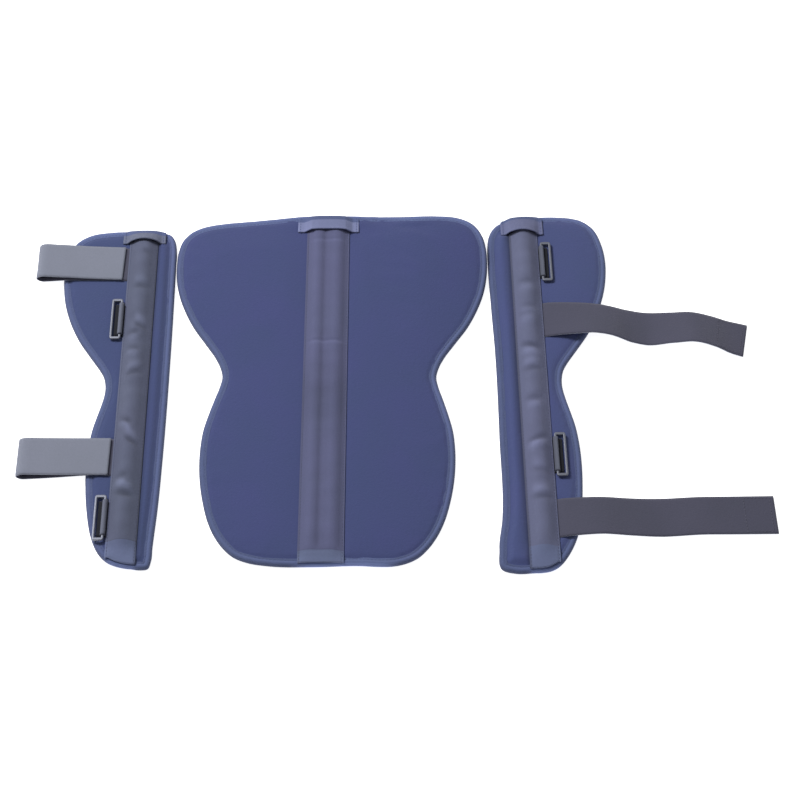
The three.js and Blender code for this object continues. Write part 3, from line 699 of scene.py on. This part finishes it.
def stitched(name, seams, thread):
    """Stitches along seams, each a list of points with a flag that closes it into a ring."""
    places = []
    edges = []
    for points, closed in seams:
        first = len(places)
        places += [tuple(point) for point in points]
        edges += [(k, k + 1) for k in range(first, len(places) - 1)]
        if closed:
            edges.append((len(places) - 1, first))
    mesh = bpy.data.meshes.new(name)
    mesh.from_pydata(places, edges, [])
    seam = bpy.data.objects.new(f"{name}_seam", mesh)
    scene.collection.objects.link(seam)
    run = seam.modifiers.new("stitches", "NODES")
    run.node_group = stitch_run
    for label in ("Pitch", "Length", "Thickness"):
        run[stitch_sockets[label]] = THREAD[label.lower()]
    run[stitch_sockets["Thread"]] = thread
    depsgraph = bpy.context.evaluated_depsgraph_get()
    made = bpy.data.meshes.new_from_object(seam.evaluated_get(depsgraph))
    bpy.data.objects.remove(seam)
    piece = bpy.data.objects.new(name, made)
    scene.collection.objects.link(piece)
    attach(piece, "splint")
    return piece


def beside_foot(panel, beyond, rim):
    """Share of each rim point that lies at the bottom end of the pocket, or a stretch beyond it."""
    shell = welded(f"{panel}_stay_pocket")
    places = np.array([vert.co for vert in shell.verts])
    shell.free()
    foot = places[places[:, 1] < places[:, 1].min() + FOOT_DEPTH, 0]
    middle = (foot.min() + foot.max() + beyond) / 2
    half = (foot.max() - foot.min() + beyond) / 2
    return bell(rim[:, 0] - middle, half, FOOT_FADE) * (rim[:, 1] < 0)


binding_tape = woven_cloth("binding_tape", (79, 89, 126), **BINDING_WEAVE)
binding_thread = woven_cloth("binding_thread", (83, 93, 130), **THREAD_WEAVE)
section_scales = {"inset": MM, "height": MM, "ripple": BINDING_RIPPLE["height"], "tone": TONE_SCALE}
section = [[row[label] * scale for label, scale in section_scales.items()] for row in BINDING_SECTION]
section, section_run = evenly_spaced(section, BINDING_GRID["across"], closed=False)
section_painted_light_and_shade = section[:, 3] / TONE_SCALE
on_top = section[:, 1] > UPPER_SIDE["height"]
seam_column = int(np.argmin(np.abs(section[:, 0] - BINDING_SEAM) + ~on_top))
binding_seams = []
for number, panel in enumerate(PANELS):
    rim, run = rim_path(f"{panel}_binding", BINDING_GRID["along"])
    ahead = np.roll(rim, -CORNER_STEPS, axis=0) - np.roll(rim, CORNER_STEPS, axis=0)
    ahead /= np.linalg.norm(ahead, axis=1)[:, None]
    inwards = np.stack([-ahead[:, 1], ahead[:, 0], np.zeros(len(rim))], axis=1)
    radius = BINDING_RIPPLE["per_metre"] * run[-1] / (2 * math.pi)
    turns = run[:-1] / run[-1] * 2 * math.pi
    around = radius * np.stack([np.cos(turns), np.sin(turns)], axis=1)
    ripple = np.array([noise.noise(Vector((x, y, number + 0.5))) for x, y in around])
    rows = rim[:, None, :] + inwards[:, None, :] * section[None, :, :1]
    rows[:, :, 2] += section[None, :, 1] - BINDING_DROP
    rows[:, :, 2] += ripple[:, None] * section[None, :, 2]
    if panel == "posterior":
        rows[:, :, 2] += top_arch(rows) * section[None, :, 1] / section[:, 1].max()
    # Painted light along the binding on the panels' upper edges.
    lit = TOP_EDGE_PAINTED_LIGHT * np.maximum(-inwards[:, 1], 0)[:, None] * on_top[None, :]
    foot = POCKET_FOOT[panel]
    foot_tone = np.where(section[:, 0] < WALL_INSET, foot["wall_painted_light"], foot["top_tone"])
    at_foot = beside_foot(panel, foot["beyond"], rim)[:, None]
    tone = section_painted_light_and_shade[None, :] * (1 - at_foot) + foot_tone[None, :] * at_foot + lit
    mesh = sheet_mesh(f"{panel}_edge_tape", rows, section_run, run, closed=True, tone=tone)
    edge = finish_piece(
        f"{panel}_edge_tape", mesh, [binding_tape], [f"{panel}_binding"],
    )
    thickened(edge, BINDING_THICKNESS)
    binding_seams.append((rows[:, seam_column] + (0, 0, THREAD["lift"]), True))
stitched("binding_stitches", binding_seams, binding_thread)

# Stay pockets
# A woven tape down the middle of each panel, sewn along both edges and across its bottom end.
# The posterior one lies flat, with low ridges along it, and the side ones bulge and crease.
TAPE_THICKNESS = 1.3 * MM
TAPE_WEAVE = {"across": 0.9 * MM, "along": 0.9 * MM, "depth": 0.14 * MM}
POCKET_GRID = {"along": 1.5 * MM, "across": 1 * MM}
GRID_MARGIN = 0.02 * MM
TRIM_STEP = 0.4 * MM
SOFT_ALONG = 2
POCKETS = {
    "posterior": {
        "colour": (85, 88, 120), "relief": 0.8, "soft": 2, "wrinkled": 1,
        "inner_shade": -0.12, "end": 16 * MM, "end_shade": -0.16,
    },
    "left": {
        "colour": (84, 89, 111), "relief": 0.9, "soft": 3, "wrinkled": 1.9,
        "inner_shade": -0.5, "end": 20 * MM, "end_shade": -0.2,
    },
    "right": {
        "colour": (96, 100, 128), "relief": 0.9, "soft": 3, "wrinkled": 1.4,
        "inner_shade": -0.5, "end": 18 * MM, "end_shade": 0.02,
    },
}
POCKET_SEAM = {"inset": 2.2 * MM, "pull": 0.5 * MM, "half_width": 1.2 * MM}
POCKET_EDGE = {"sink": 0.7 * MM, "outer_painted_light": 0.18, "half_width": 1.8 * MM}
END_FADE = {"from": 0.3, "slope": 2}
POCKET_TAIL = {"length": 9 * MM, "least": 0.5 * MM, "from_edge": 3 * MM, "height": 9.1 * MM}
TAIL_SHARES = (1, 0.75, 0.5, 0.25)
WRINKLE = {"height": 0.6 * MM, "tone": 0.06, "along": 60, "across": 22}
# Ridges painted lighter and grooves darker, as painted light and shade.
POSTERIOR_RIDGES = [
    {"across": -14.0, "half_width": 5.0, "height": 0.6, "tone": 0.08},
    {"across": 10.0, "half_width": 6.5, "height": 0.6, "tone": 0.1},
    {"across": -3.0, "half_width": 3.5, "height": -1.2, "tone": -0.1},
    {"across": 20.5, "half_width": 1.2, "height": -0.4, "tone": -0.14},
]
RIDGE_START = {"from": 12 * MM, "over": 10 * MM}
# Each cross seam's tone is a painted highlight on the lip below its groove.
POSTERIOR_SEAMS = [
    {"along": 59, "depth": 1.0, "tone": 0.14},
    {"along": 214, "depth": 0.7, "tone": 0.12},
    {"along": -230, "depth": 0.6, "tone": 0.12},
]
SEAM_FORM = {"groove": 2.2, "lit": 2.5, "lit_below": 3}
POSTERIOR_DARKER_STRETCH = {"along": -20, "half_width": 42, "tone": -0.13}
SIDE_CREASES = {
    "left": [
        {"along": 190, "across": -8, "reach": 7, "slope": 0.3, "depth": 0.7, "lip": 1},
        {"along": 138, "across": -2, "reach": 11, "slope": 0.1, "depth": 1.2, "lip": 1},
        {"along": 78, "across": -6, "reach": 9, "slope": 0.35, "depth": 2.0, "lip": 1},
        {"along": 69, "across": 6, "reach": 9, "slope": 0, "depth": 1.3, "lip": -1},
        {"along": 46, "across": 3, "reach": 9, "slope": 0.2, "depth": 1.2, "lip": -1},
        {"along": 10, "across": 0, "reach": 10, "slope": -0.2, "depth": 1.3, "lip": 1},
        {"along": -56, "across": 8, "reach": 11, "slope": 0.5, "depth": 1.9, "lip": -1},
        {"along": -88, "across": -7, "reach": 11, "slope": 0.6, "depth": 2.1, "lip": 1},
        {"along": -134, "across": 6, "reach": 8, "slope": 0, "depth": 1.0, "lip": -1},
        {"along": -157, "across": 2, "reach": 14, "slope": 0.25, "depth": 2.4, "lip": 1},
    ],
    "right": [
        {"along": 146, "across": 0, "reach": 12, "slope": 0, "depth": 0.7, "lip": -1},
        {"along": 109, "across": 3, "reach": 14, "slope": 0, "depth": 0.8, "lip": -1},
        {"along": 97, "across": -2, "reach": 12, "slope": 0.05, "depth": 0.7, "lip": -1},
        {"along": 50, "across": 0, "reach": 16, "slope": -0.15, "depth": 1.9, "lip": -1},
        {"along": 16, "across": 0, "reach": 14, "slope": 0.05, "depth": 1.2, "lip": 1},
        {"along": -27, "across": -1, "reach": 10, "slope": 0, "depth": 1.1, "lip": -1},
        {"along": -82, "across": 2, "reach": 16, "slope": 0.27, "depth": 1.9, "lip": -1},
        {"along": -127, "across": 2, "reach": 12, "slope": -0.1, "depth": 0.9, "lip": 1},
        {"along": -162, "across": 3, "reach": 15, "slope": 0, "depth": 1.3, "lip": 1},
    ],
}
CREASE = {
    "relief": 1.3, "half_width": 4.2, "lip_at": 9, "lip_width": 6.5, "lip_share": 0.8,
    "groove_painted_shade": -0.22, "lip_painted_light": 0.25,
}


def softened(heights, width):
    """Heights along a tape, with their corners rounded off over a number of stations."""
    reach = np.arange(-3 * width, 3 * width + 1)
    weights = np.exp(-(reach / width) ** 2 / 2)
    padded = np.pad(heights, ((len(reach) // 2, len(reach) // 2), (0, 0)), mode="edge")
    columns = [np.convolve(column, weights / weights.sum(), mode="valid") for column in padded.T]
    return np.stack(columns, axis=1)


def tape_grid(node, panel, along_step, across_step):
    """A grid over the top of a tape's solid, from its foot end up and from left to right.

    Returns the grid's places, the distance along the tape and the distance across it, outwards.
    Each column ends where the solid does, so that a trimmed top end keeps its outline.
    """
    along, outwards = panel_axes(panel)
    low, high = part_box(node)
    centre = np.array((low + high) / 2)
    shell = welded(node)
    offsets = np.array([vert.co for vert in shell.verts]) - centre
    shell.free()
    half_length = np.max(offsets @ along) - GRID_MARGIN
    half_width = np.max(offsets @ outwards) - GRID_MARGIN
    alongs = np.linspace(-half_length, half_length, round(2 * half_length / along_step) + 1)
    acrosses = np.linspace(-half_width, half_width, round(2 * half_width / across_step) + 1)
    if panel == "left":
        acrosses = acrosses[::-1]
    tree = solid_tree(node)

    def place_on(t, w):
        place = centre + along * t + outwards * w
        hit = tree.ray_cast(Vector((place[0], place[1], 1)), Vector((0, 0, -1)))[0]
        return hit and (place[0], place[1], hit.z)

    rows = np.empty((len(alongs), len(acrosses), 3))
    for j, w in enumerate(acrosses):
        top = half_length
        while not place_on(top, w):
            top -= TRIM_STEP
        for i, t in enumerate(np.linspace(-half_length, top, len(alongs))):
            rows[i, j] = place_on(t, w) or rows[i - 1, j]
    return rows, alongs, acrosses


def tape_piece(name, rows, tone, materials, second, stands_for):
    """A tape lying on its panel, with the second material on the rows that the flags pick."""
    along_run = run_along(rows[:, 0])
    across_run = run_along(rows[0, :, :2])
    mesh = sheet_mesh(name, rows[::-1], across_run, along_run, tone=tone[::-1])
    bands = np.repeat(second[::-1][: len(rows) - 1], len(across_run) - 1)
    mesh.polygons.foreach_set("material_index", bands.astype(np.int32))
    piece = finish_piece(name, mesh, materials, stands_for)
    thickened(piece, TAPE_THICKNESS)
    return piece


def wrinkles(alongs, acrosses, form, seed):
    """A field of soft wrinkles over a tape's grid."""
    return np.array([
        [noise.noise(Vector((t * form["along"], w * form["across"], seed))) for w in acrosses]
        for t in alongs
    ])


def ridged(alongs, acrosses, level, share):
    """Height and tone of the posterior tape's ridges, cross seams and a darker stretch, with painted light on the
    ridges and below the seams and painted shade in the grooves.
    """
    height = np.zeros(level.shape)
    tone = np.zeros(level.shape)
    past_end = np.clip((alongs - alongs[0] - RIDGE_START["from"]) / RIDGE_START["over"], 0, 1)[:, None]
    for ridge in POSTERIOR_RIDGES:
        form = bell(acrosses / MM - ridge["across"], ridge["half_width"])[None, :] * past_end
        height += ridge["height"] * MM * form * share
        tone += ridge["tone"] * form
    for seam in POSTERIOR_SEAMS:
        off = level - seam["along"]
        height -= seam["depth"] * MM * bell(off, SEAM_FORM["groove"]) * share
        tone += seam["tone"] * bell(off + SEAM_FORM["lit_below"], SEAM_FORM["lit"]) * share
    # Darker over a stretch in the middle of the tape.
    darker_stretch = bell(level - POSTERIOR_DARKER_STRETCH["along"], POSTERIOR_DARKER_STRETCH["half_width"])
    tone += POSTERIOR_DARKER_STRETCH["tone"] * darker_stretch
    return height, tone


def creased(panel, acrosses, level, share):
    """Height and tone of a side tape's creases, each a groove with a raised lip beside it, with painted shade in
    the groove and painted light on the lip.
    """
    height = np.zeros(level.shape)
    tone = np.zeros(level.shape)
    for crease in SIDE_CREASES[panel]:
        across = acrosses[None, :] / MM - crease["across"]
        off = level - crease["along"] - crease["slope"] * across
        window = bell(across, crease["reach"], 4) * share
        groove = bell(off, CREASE["half_width"]) * window
        lip = bell(off - crease["lip"] * CREASE["lip_at"], CREASE["lip_width"]) * window
        height += CREASE["relief"] * crease["depth"] * MM * (CREASE["lip_share"] * lip - groove)
        tone += crease["depth"] * (CREASE["lip_painted_light"] * lip + CREASE["groove_painted_shade"] * groove)
    return height, tone


def with_tail(panel, rows, tone, sewn_end):
    """A side tape's grid with the short tail that runs from its foot down to the binding."""
    along = panel_axes(panel)[0]
    room = nearest_of(rims[panel], rows[0])[1] - POCKET_TAIL["from_edge"]
    reach = np.clip(np.minimum(POCKET_TAIL["length"], room), POCKET_TAIL["least"], None)
    tail = np.repeat(rows[:1], len(TAIL_SHARES), axis=0)
    for row, share in zip(tail, TAIL_SHARES):
        row -= along * (reach * share)[:, None]
        row[:, 2] += (POCKET_TAIL["height"] - row[:, 2]) * share
    tail_tone = np.repeat(tone[:1], len(TAIL_SHARES), axis=0)
    tail_sewn = np.ones(len(TAIL_SHARES), bool)
    return [np.concatenate(pair) for pair in ((tail, rows), (tail_tone, tone), (tail_sewn, sewn_end))]


pocket_thread = woven_cloth("pocket_thread", (80, 84, 108), **THREAD_WEAVE)
tape_end = woven_cloth("tape_end", (97, 106, 138), **TAPE_WEAVE)
pocket_seams = []
for number, (panel, pocket) in enumerate(POCKETS.items()):
    node = f"{panel}_stay_pocket"
    rows, alongs, acrosses = tape_grid(node, panel, POCKET_GRID["along"], POCKET_GRID["across"])
    heights = softened(softened(rows[:, :, 2], SOFT_ALONG).T, pocket["soft"]).T
    share = (heights - heights.min()) / (heights.max() - heights.min())
    level = rows[:, :, 1] / MM
    heights = heights.min() + (heights - heights.min()) * pocket["relief"]
    wrinkle = wrinkles(alongs, acrosses, WRINKLE, number) * pocket["wrinkled"] * share
    if panel == "posterior":
        relief, tone = ridged(alongs, acrosses, level, share)
    else:
        relief, tone = creased(panel, acrosses, level, share)
    heights += WRINKLE["height"] * wrinkle + relief
    # Wrinkle crests painted lighter and hollows darker, as painted light and shade.
    tone += WRINKLE["tone"] * wrinkle
    half_width = np.abs(acrosses).max()
    from_edge = half_width - np.abs(acrosses)
    at_seam = bell(from_edge - POCKET_SEAM["inset"], POCKET_SEAM["half_width"])
    at_edge = bell(from_edge, POCKET_EDGE["half_width"])
    heights -= POCKET_SEAM["pull"] * at_seam + POCKET_EDGE["sink"] * at_edge
    # Painted shade along the tape's inner edge and painted light along its outer edge.
    tone += np.where(acrosses < 0, pocket["inner_shade"], POCKET_EDGE["outer_painted_light"]) * at_edge
    rows[:, :, 2] = heights
    into_end = (alongs - alongs[0]) / pocket["end"]
    sewn_end = into_end < 1
    fade = np.clip(END_FADE["slope"] * (into_end - END_FADE["from"]), 0, 1)
    tone += (pocket["end_shade"] * fade * sewn_end)[:, None]
    if panel != "posterior":
        rows, tone, sewn_end = with_tail(panel, rows, tone, sewn_end)
    tape = woven_cloth(f"{panel}_tape", pocket["colour"], **TAPE_WEAVE)
    tape_piece(f"{panel}_pocket_tape", rows, tone, [tape, tape_end], sewn_end, [node])
    for side in (-1, 1):
        wanted = side * (half_width - POCKET_SEAM["inset"])
        column = int(np.argmin(np.abs(acrosses - wanted)))
        pocket_seams.append((rows[:, column] + (0, 0, THREAD["lift"]), False))
stitched("pocket_stitches", pocket_seams, pocket_thread)

# Pocket caps
# A short tab of paler tape, arched over the open top end of each pocket. The edge binding runs
# over its back, and its lower edge stands off, so that the mouth shows as a dark slit.
CAP_GRID = {"along": 1.5 * MM, "across": 1.5 * MM}
CAP_ROLL = {"height": 0.4 * MM, "width": 2 * MM}
CAPS = {
    "posterior": {"colour": (110, 116, 151), "bound": 6 * MM, "tuck": 3 * MM, "lower": 0.4 * MM},
    "left": {"colour": (95, 100, 121), "bound": 4 * MM, "tuck": 4.6 * MM, "lower": 3.2 * MM},
    "right": {"colour": (97, 101, 134), "bound": 4 * MM, "tuck": 4.6 * MM, "lower": 2.2 * MM},
}
CAP_LOWERING = 1.5
CAP_FOOT = 8.2 * MM
CAP_END_TONE = 0.2
CAP_SEAM_COLUMNS = (2, -3)
CAP_WRINKLE = {"height": 0.4 * MM, "along": 60, "across": 45, "seed": 0.3}
CAP_TUCK = {"from_edge": 0.4 * MM, "least": 0.3 * MM, "end_power": 6, "end_share": 0.9}
TUCKED = [{"reach": 0.4, "height": 0.75}, {"reach": 0.75, "height": 0.4}, {"reach": 1, "height": 0.05}]

cap_seams = []
for number, (panel, cap) in enumerate(CAPS.items()):
    node = f"{panel}_pocket_cap"
    rows, alongs, acrosses = tape_grid(node, panel, CAP_GRID["along"], CAP_GRID["across"])
    heights = softened(rows[:, :, 2], 1)
    from_front = ((alongs - alongs[0]) / (alongs[-1] - alongs[0]))[:, None]
    raised = (heights - heights.min()) / (heights.max() - heights.min())
    heights -= cap["lower"] * raised * from_front**CAP_LOWERING
    heights += CAP_WRINKLE["height"] * wrinkles(alongs, acrosses, CAP_WRINKLE, number + CAP_WRINKLE["seed"])
    heights += CAP_ROLL["height"] * bell(alongs - alongs[0], CAP_ROLL["width"])[:, None]
    rows[:, :, 2] = heights
    along = panel_axes(panel)[0]
    outwards = np.abs(acrosses) / np.abs(acrosses).max()
    room = nearest_of(rims[panel], rows[-1])[1] - CAP_TUCK["from_edge"]
    reach = np.clip(np.minimum(cap["tuck"], room), CAP_TUCK["least"], None)
    reach *= 1 - CAP_TUCK["end_share"] * outwards ** CAP_TUCK["end_power"]
    tucked = []
    for tuck in TUCKED:
        row = rows[-1] + along * (reach * tuck["reach"])[:, None]
        row[:, 2] = CAP_FOOT + (rows[-1, :, 2] - CAP_FOOT) * tuck["height"]
        tucked.append(row)
    bound = np.concatenate([alongs > alongs[-1] - cap["bound"], np.ones(len(tucked), bool)])
    cap_seams += [(rows[:, column] + (0, 0, THREAD["lift"]), False) for column in CAP_SEAM_COLUMNS]
    rows = np.concatenate([rows, tucked])
    tone = np.broadcast_to(CAP_END_TONE * np.clip(2 * outwards - 1, 0, 1), rows.shape[:2])
    cap_tape = woven_cloth(f"{panel}_cap_tape", cap["colour"], **BINDING_WEAVE)
    tape_piece(f"{panel}_cap_tab", rows, tone, [cap_tape, binding_tape], bound, [node])
stitched("cap_stitches", cap_seams, binding_thread)

# Straps
# Webbing, 50 mm wide, with dark loop cloth on its face and a paler woven back. Each strap is
# sewn in under the outer edge of its pocket. The left ones are folded back over themselves.
WEBBING_WIDTH = 50 * MM
WEBBING_THICKNESS = 1.5 * MM
WEBBING_EDGE = {"from": 0.49 * WEBBING_WIDTH, "thinned": 0.6}
RUNG = {"tolerance": 0.03 * MM, "tilt": 0.7}
STRAP_STEP = 2.5 * MM
STRAP_COLUMNS = 16
STRAP_LOOP = 0.9 * MM
STRAP_WEAVE = {"across": 1.0 * MM, "along": 1.2 * MM, "depth": 0.16 * MM}
STRAP_HEM = {"inset": 3 * MM, "length": 34 * MM, "lift": 0.15 * MM}
STRAPS = ["left_strap_upper", "left_strap_lower", "right_strap_upper", "right_strap_lower"]


def strap_edges(node):
    """The middle lines of a strap's two side walls, from its sewn end to its free end."""
    shell = welded(node)
    sewn_end = 1 if node.startswith("left") else -1
    middles = []
    for side in (-1, 1):
        rungs = [
            edge for edge in shell.edges
            if abs(edge.calc_length() - WEBBING_THICKNESS) < RUNG["tolerance"]
            and any(face.normal.y * side > RUNG["tilt"] for face in edge.link_faces)
        ]
        owner = {vert: rung for rung in rungs for vert in rung.verts}
        rung = max(rungs, key=lambda edge: sewn_end * edge.verts[0].co.x)
        order = []
        while rung is not None:
            order.append(rung)
            near = {owner.get(edge.other_vert(vert)) for vert in rung.verts for edge in vert.link_edges}
            rung = next((other for other in near if other is not None and other not in order), None)
        middles.append(np.array([np.mean([vert.co for vert in edge.verts], axis=0) for edge in order]))
    shell.free()
    return middles


def face_outwards(mesh):
    """Merges a closed mesh's doubles and turns its faces outwards."""
    shell = bmesh.new()
    shell.from_mesh(mesh)
    bmesh.ops.remove_doubles(shell, verts=shell.verts, dist=WELD_DISTANCE)
    bmesh.ops.recalc_face_normals(shell, faces=shell.faces)
    shell.to_mesh(mesh)
    shell.free()


def strap_mesh(name, lower, upper):
    """A closed ribbon between two edges, with its face and its back as two materials.

    Returns the mesh, the distance run along it, its middle line, and the directions across its
    width and out of its face.
    """
    middle = (lower + upper) / 2
    centres, run = evenly_spaced(middle, STRAP_STEP, closed=False)
    sections = run_along(middle)
    stations = run * sections[-1] / run[-1]
    across = (upper - lower) / np.linalg.norm(upper - lower, axis=1)[:, None]
    across = np.stack([np.interp(stations, sections, across[:, axis]) for axis in range(3)], axis=1)
    ahead = np.gradient(centres, axis=0)
    ahead /= np.linalg.norm(ahead, axis=1)[:, None]
    face = np.cross(ahead, across)
    face *= np.sign(face[0, 2])
    offsets = np.linspace(-0.5, 0.5, STRAP_COLUMNS + 1) * WEBBING_WIDTH
    thinned = np.where(np.abs(offsets) > WEBBING_EDGE["from"], WEBBING_EDGE["thinned"], 1)
    flat = centres[:, None] + across[:, None] * offsets[None, :, None]
    rise = face[:, None] * (WEBBING_THICKNESS / 2 * thinned)[None, :, None]
    loop = np.concatenate([flat + rise, (flat - rise)[:, ::-1]], axis=1)
    count, columns = loop.shape[:2]
    across_map = np.concatenate([offsets, offsets[::-1]])
    faces = []
    corners = []
    for i in range(count - 1):
        near = i * columns
        far = near + columns
        for j in range(columns):
            after = (j + 1) % columns
            faces.append((near + j, far + j, far + after, near + after))
            corners += [
                (across_map[j], run[i]), (across_map[j], run[i + 1]),
                (across_map[after], run[i + 1]), (across_map[after], run[i]),
            ]
    for first in (0, (count - 1) * columns):
        last = first + columns - 1
        for j in range(STRAP_COLUMNS):
            faces.append((first + j, first + j + 1, last - 1 - j, last - j))
            corners += [(0, 0)] * 4
    mesh = bpy.data.meshes.new(name)
    mesh.from_pydata(loop.reshape(-1, 3).tolist(), [], faces)
    layer = mesh.uv_layers.new(name="cut")
    layer.data.foreach_set("uv", np.array(corners, np.float32).ravel())
    face_outwards(mesh)
    on_back = [int(j >= STRAP_COLUMNS) for j in range(columns)] * (count - 1) + [1] * (2 * STRAP_COLUMNS)
    mesh.polygons.foreach_set("material_index", on_back)
    mesh.shade_smooth()
    return mesh, run, centres, across, face


strap_face = pile_cloth("strap_loop_face", (75, 75, 92), STRAP_LOOP)
strap_back = woven_cloth("strap_woven_back", (121, 125, 140), **STRAP_WEAVE)
strap_thread = woven_cloth("strap_thread", (92, 91, 107), **THREAD_WEAVE)
strap_seams = []
for node in STRAPS:
    mesh, run, centres, across, face = strap_mesh(f"{node}_webbing", *strap_edges(node))
    piece = finish_piece(f"{node}_webbing", mesh, [strap_face, strap_back], [node])
    held = "folded" if node.startswith("left") else "laid"
    if held == "folded":
        continue
    tip = run[-1] - STRAP_HEM["inset"]
    inset = WEBBING_WIDTH / 2 - STRAP_HEM["inset"]
    on_face = centres + face * (WEBBING_THICKNESS / 2 + STRAP_HEM["lift"])
    stretch = (run > tip - STRAP_HEM["length"]) & (run < tip)
    sides = [on_face[stretch] + across[stretch] * offset for offset in (-inset, inset)]
    strap_seams.append((np.concatenate([sides[0], sides[1][::-1]]), True))
stitched("strap_stitches", strap_seams, strap_thread)

# Strap rings
# Oblong frames of plated metal, bent square at the corners, that swing on their bar next to
# the pocket. The ends are a little broader than the long bars.
RING = {"reach": 10.5 * MM, "half_length": 28 * MM, "corner": 1.6 * MM}
RING_BAR = {"long": 3 * MM, "end": 4 * MM, "thickness": 3 * MM}
RING_SQUARENESS = 0.55
RING_STEPS = {"corner": 5, "section": 14}
PLATING = {"colour": (0.17, 0.18, 0.22, 1), "metallic": 0.6, "roughness": (0.42, 0.62)}
SCUFFS = {"scale": 900, "detail": 4, "depth": 0.04 * MM}
UP = np.array([0, 0, 1.0])


def ring_metal_material():
    """Satin plated metal with fine scuffs."""
    material, tree, shader, coordinates = new_material("ring_plating")
    scuffs = noise_texture(tree, coordinates.outputs["Object"], SCUFFS["scale"], SCUFFS["detail"])
    spread = tree.nodes.new("ShaderNodeMapRange")
    spread.inputs["To Min"].default_value, spread.inputs["To Max"].default_value = PLATING["roughness"]
    tree.links.new(scuffs, spread.inputs["Value"])
    tree.links.new(spread.outputs["Result"], shader.inputs["Roughness"])
    shader.inputs["Base Color"].default_value = PLATING["colour"]
    shader.inputs["Metallic"].default_value = PLATING["metallic"]
    bump(tree, shader, scuffs, SCUFFS["depth"])
    return material


def oblong(steps):
    """Points round an oblong with rounded corners, each followed by its outward direction."""
    corner = RING["corner"]
    far = RING["reach"] - corner
    top = RING["half_length"] - corner
    points = []
    for quarter, (x, y) in enumerate([(far, top), (corner, top), (corner, -top), (far, -top)]):
        for k in range(steps + 1):
            angle = math.pi / 2 * (quarter + k / steps)
            outward = (math.cos(angle), math.sin(angle))
            points.append((x + corner * outward[0], y + corner * outward[1], *outward))
    return points


def swing_frame(joint):
    """A ring's pivot, the direction of its inner bar, and the direction that it reaches out in."""
    along = np.array(joint["axis"])
    return np.array(joint["pos_m"]), along, np.cross(UP, along)


def squared(wave):
    """A sine or cosine with its turns pulled outwards, for a round bar that is nearly square."""
    return np.sign(wave) * np.abs(wave) ** RING_SQUARENESS


ring_plating = ring_metal_material()
angles = np.linspace(0, 2 * math.pi, RING_STEPS["section"], endpoint=False)
rise = squared(np.sin(angles)) * RING_BAR["thickness"] / 2
for joint in frame["joints"]:
    body = joint["child"]
    node = frame["record"]["behaviour"]["bodies"][body][0]
    pivot, along, out = swing_frame(joint)
    rows = []
    for x, y, out_share, along_share in oblong(RING_STEPS["corner"]):
        width = RING_BAR["long"] + (RING_BAR["end"] - RING_BAR["long"]) * along_share**2
        side = squared(np.cos(angles)) * width / 2
        outward = out * out_share + along * along_share
        rows.append(pivot + out * x + along * y + side[:, None] * outward + rise[:, None] * UP)
    rows = np.array(rows)
    rows = np.concatenate([rows, rows[:, :1]], axis=1)
    no_map = np.zeros(max(rows.shape[:2]) + 1)
    mesh = sheet_mesh(f"{node}_frame", rows, no_map, no_map, closed=True)
    face_outwards(mesh)
    subdivided(finish_piece(f"{node}_frame", mesh, [ring_plating], [node], body), 1)

# Ring chapes
# A doubled piece of webbing that holds each ring by its inner bar. Its ply on the panel under the ring is near
# black, painted shadow for the shade inside the ring's slot, and its loop goes over the bar with the paler back
# outside.
CHAPE_PLY = 1.1 * MM
CHAPE_HALF_WIDTH = 22.9 * MM
CHAPE_LOOP = {"radius": 3.05 * MM, "foot": math.radians(40)}
CHAPE_STEPS = {"base": 0.8 * MM, "loop": 22, "across": 24}
CHAPE_SHADE = {"tone": -0.35, "start": 0.3}
CHAPE_WEAVE = {"across": 1.0 * MM, "along": 1.1 * MM, "depth": 0.14 * MM}
CHAPE_BASE = [
    {"out": -13.3, "height": -3.85}, {"out": -2.4, "height": -3.85}, {"out": -0.6, "height": -2.3},
    {"out": 1.2, "height": -2.0}, {"out": 7.5, "height": -2.0},
]

# Near-black painted shadow under the ring's slot.
chape_shadow_ply = woven_cloth("chape_dark_face", (24, 26, 34), **CHAPE_WEAVE)
chape_pale = woven_cloth("chape_pale_back", (100, 104, 120), **CHAPE_WEAVE)
base_corners = [(row["out"] * MM, row["height"] * MM) for row in CHAPE_BASE]
base, base_run = evenly_spaced(base_corners, CHAPE_STEPS["base"], closed=False)
turn = np.linspace(math.pi + CHAPE_LOOP["foot"], -CHAPE_LOOP["foot"], CHAPE_STEPS["loop"])
loop = CHAPE_LOOP["radius"] * np.stack([np.cos(turn), np.sin(turn)], axis=1)
loop_run = CHAPE_LOOP["radius"] * (turn[0] - turn)
places = np.linspace(-CHAPE_HALF_WIDTH, CHAPE_HALF_WIDTH, CHAPE_STEPS["across"])
for joint in frame["joints"]:
    ring = frame["record"]["behaviour"]["bodies"][joint["child"]][0]
    node = ring.replace("ring", "chape")
    pivot, along, out = swing_frame(joint)
    shell = bmesh.new()
    for index, (profile, run) in enumerate(((base, base_run), (loop, loop_run))):
        rows = pivot + along * places[:, None, None] + out * profile[None, :, :1]
        rows = rows + UP * profile[None, :, 1:]
        # Painted shade on the inner side of the loop, next to the pocket.
        turned_in = np.clip(CHAPE_SHADE["start"] - profile[:, 0] / CHAPE_LOOP["radius"], 0, 1)
        shade = CHAPE_SHADE["tone"] * turned_in * index
        ply = sheet_mesh(f"{node}_ply", rows, run, places, tone=shade[None, :])
        ply.polygons.foreach_set("material_index", [index] * len(ply.polygons))
        shell.from_mesh(ply)
        bpy.data.meshes.remove(ply)
    mesh = bpy.data.meshes.new(f"{node}_webbing")
    shell.to_mesh(mesh)
    shell.free()
    mesh.shade_smooth()
    piece = finish_piece(f"{node}_webbing", mesh, [chape_shadow_ply, chape_pale], [node])
    thickened(piece, CHAPE_PLY)
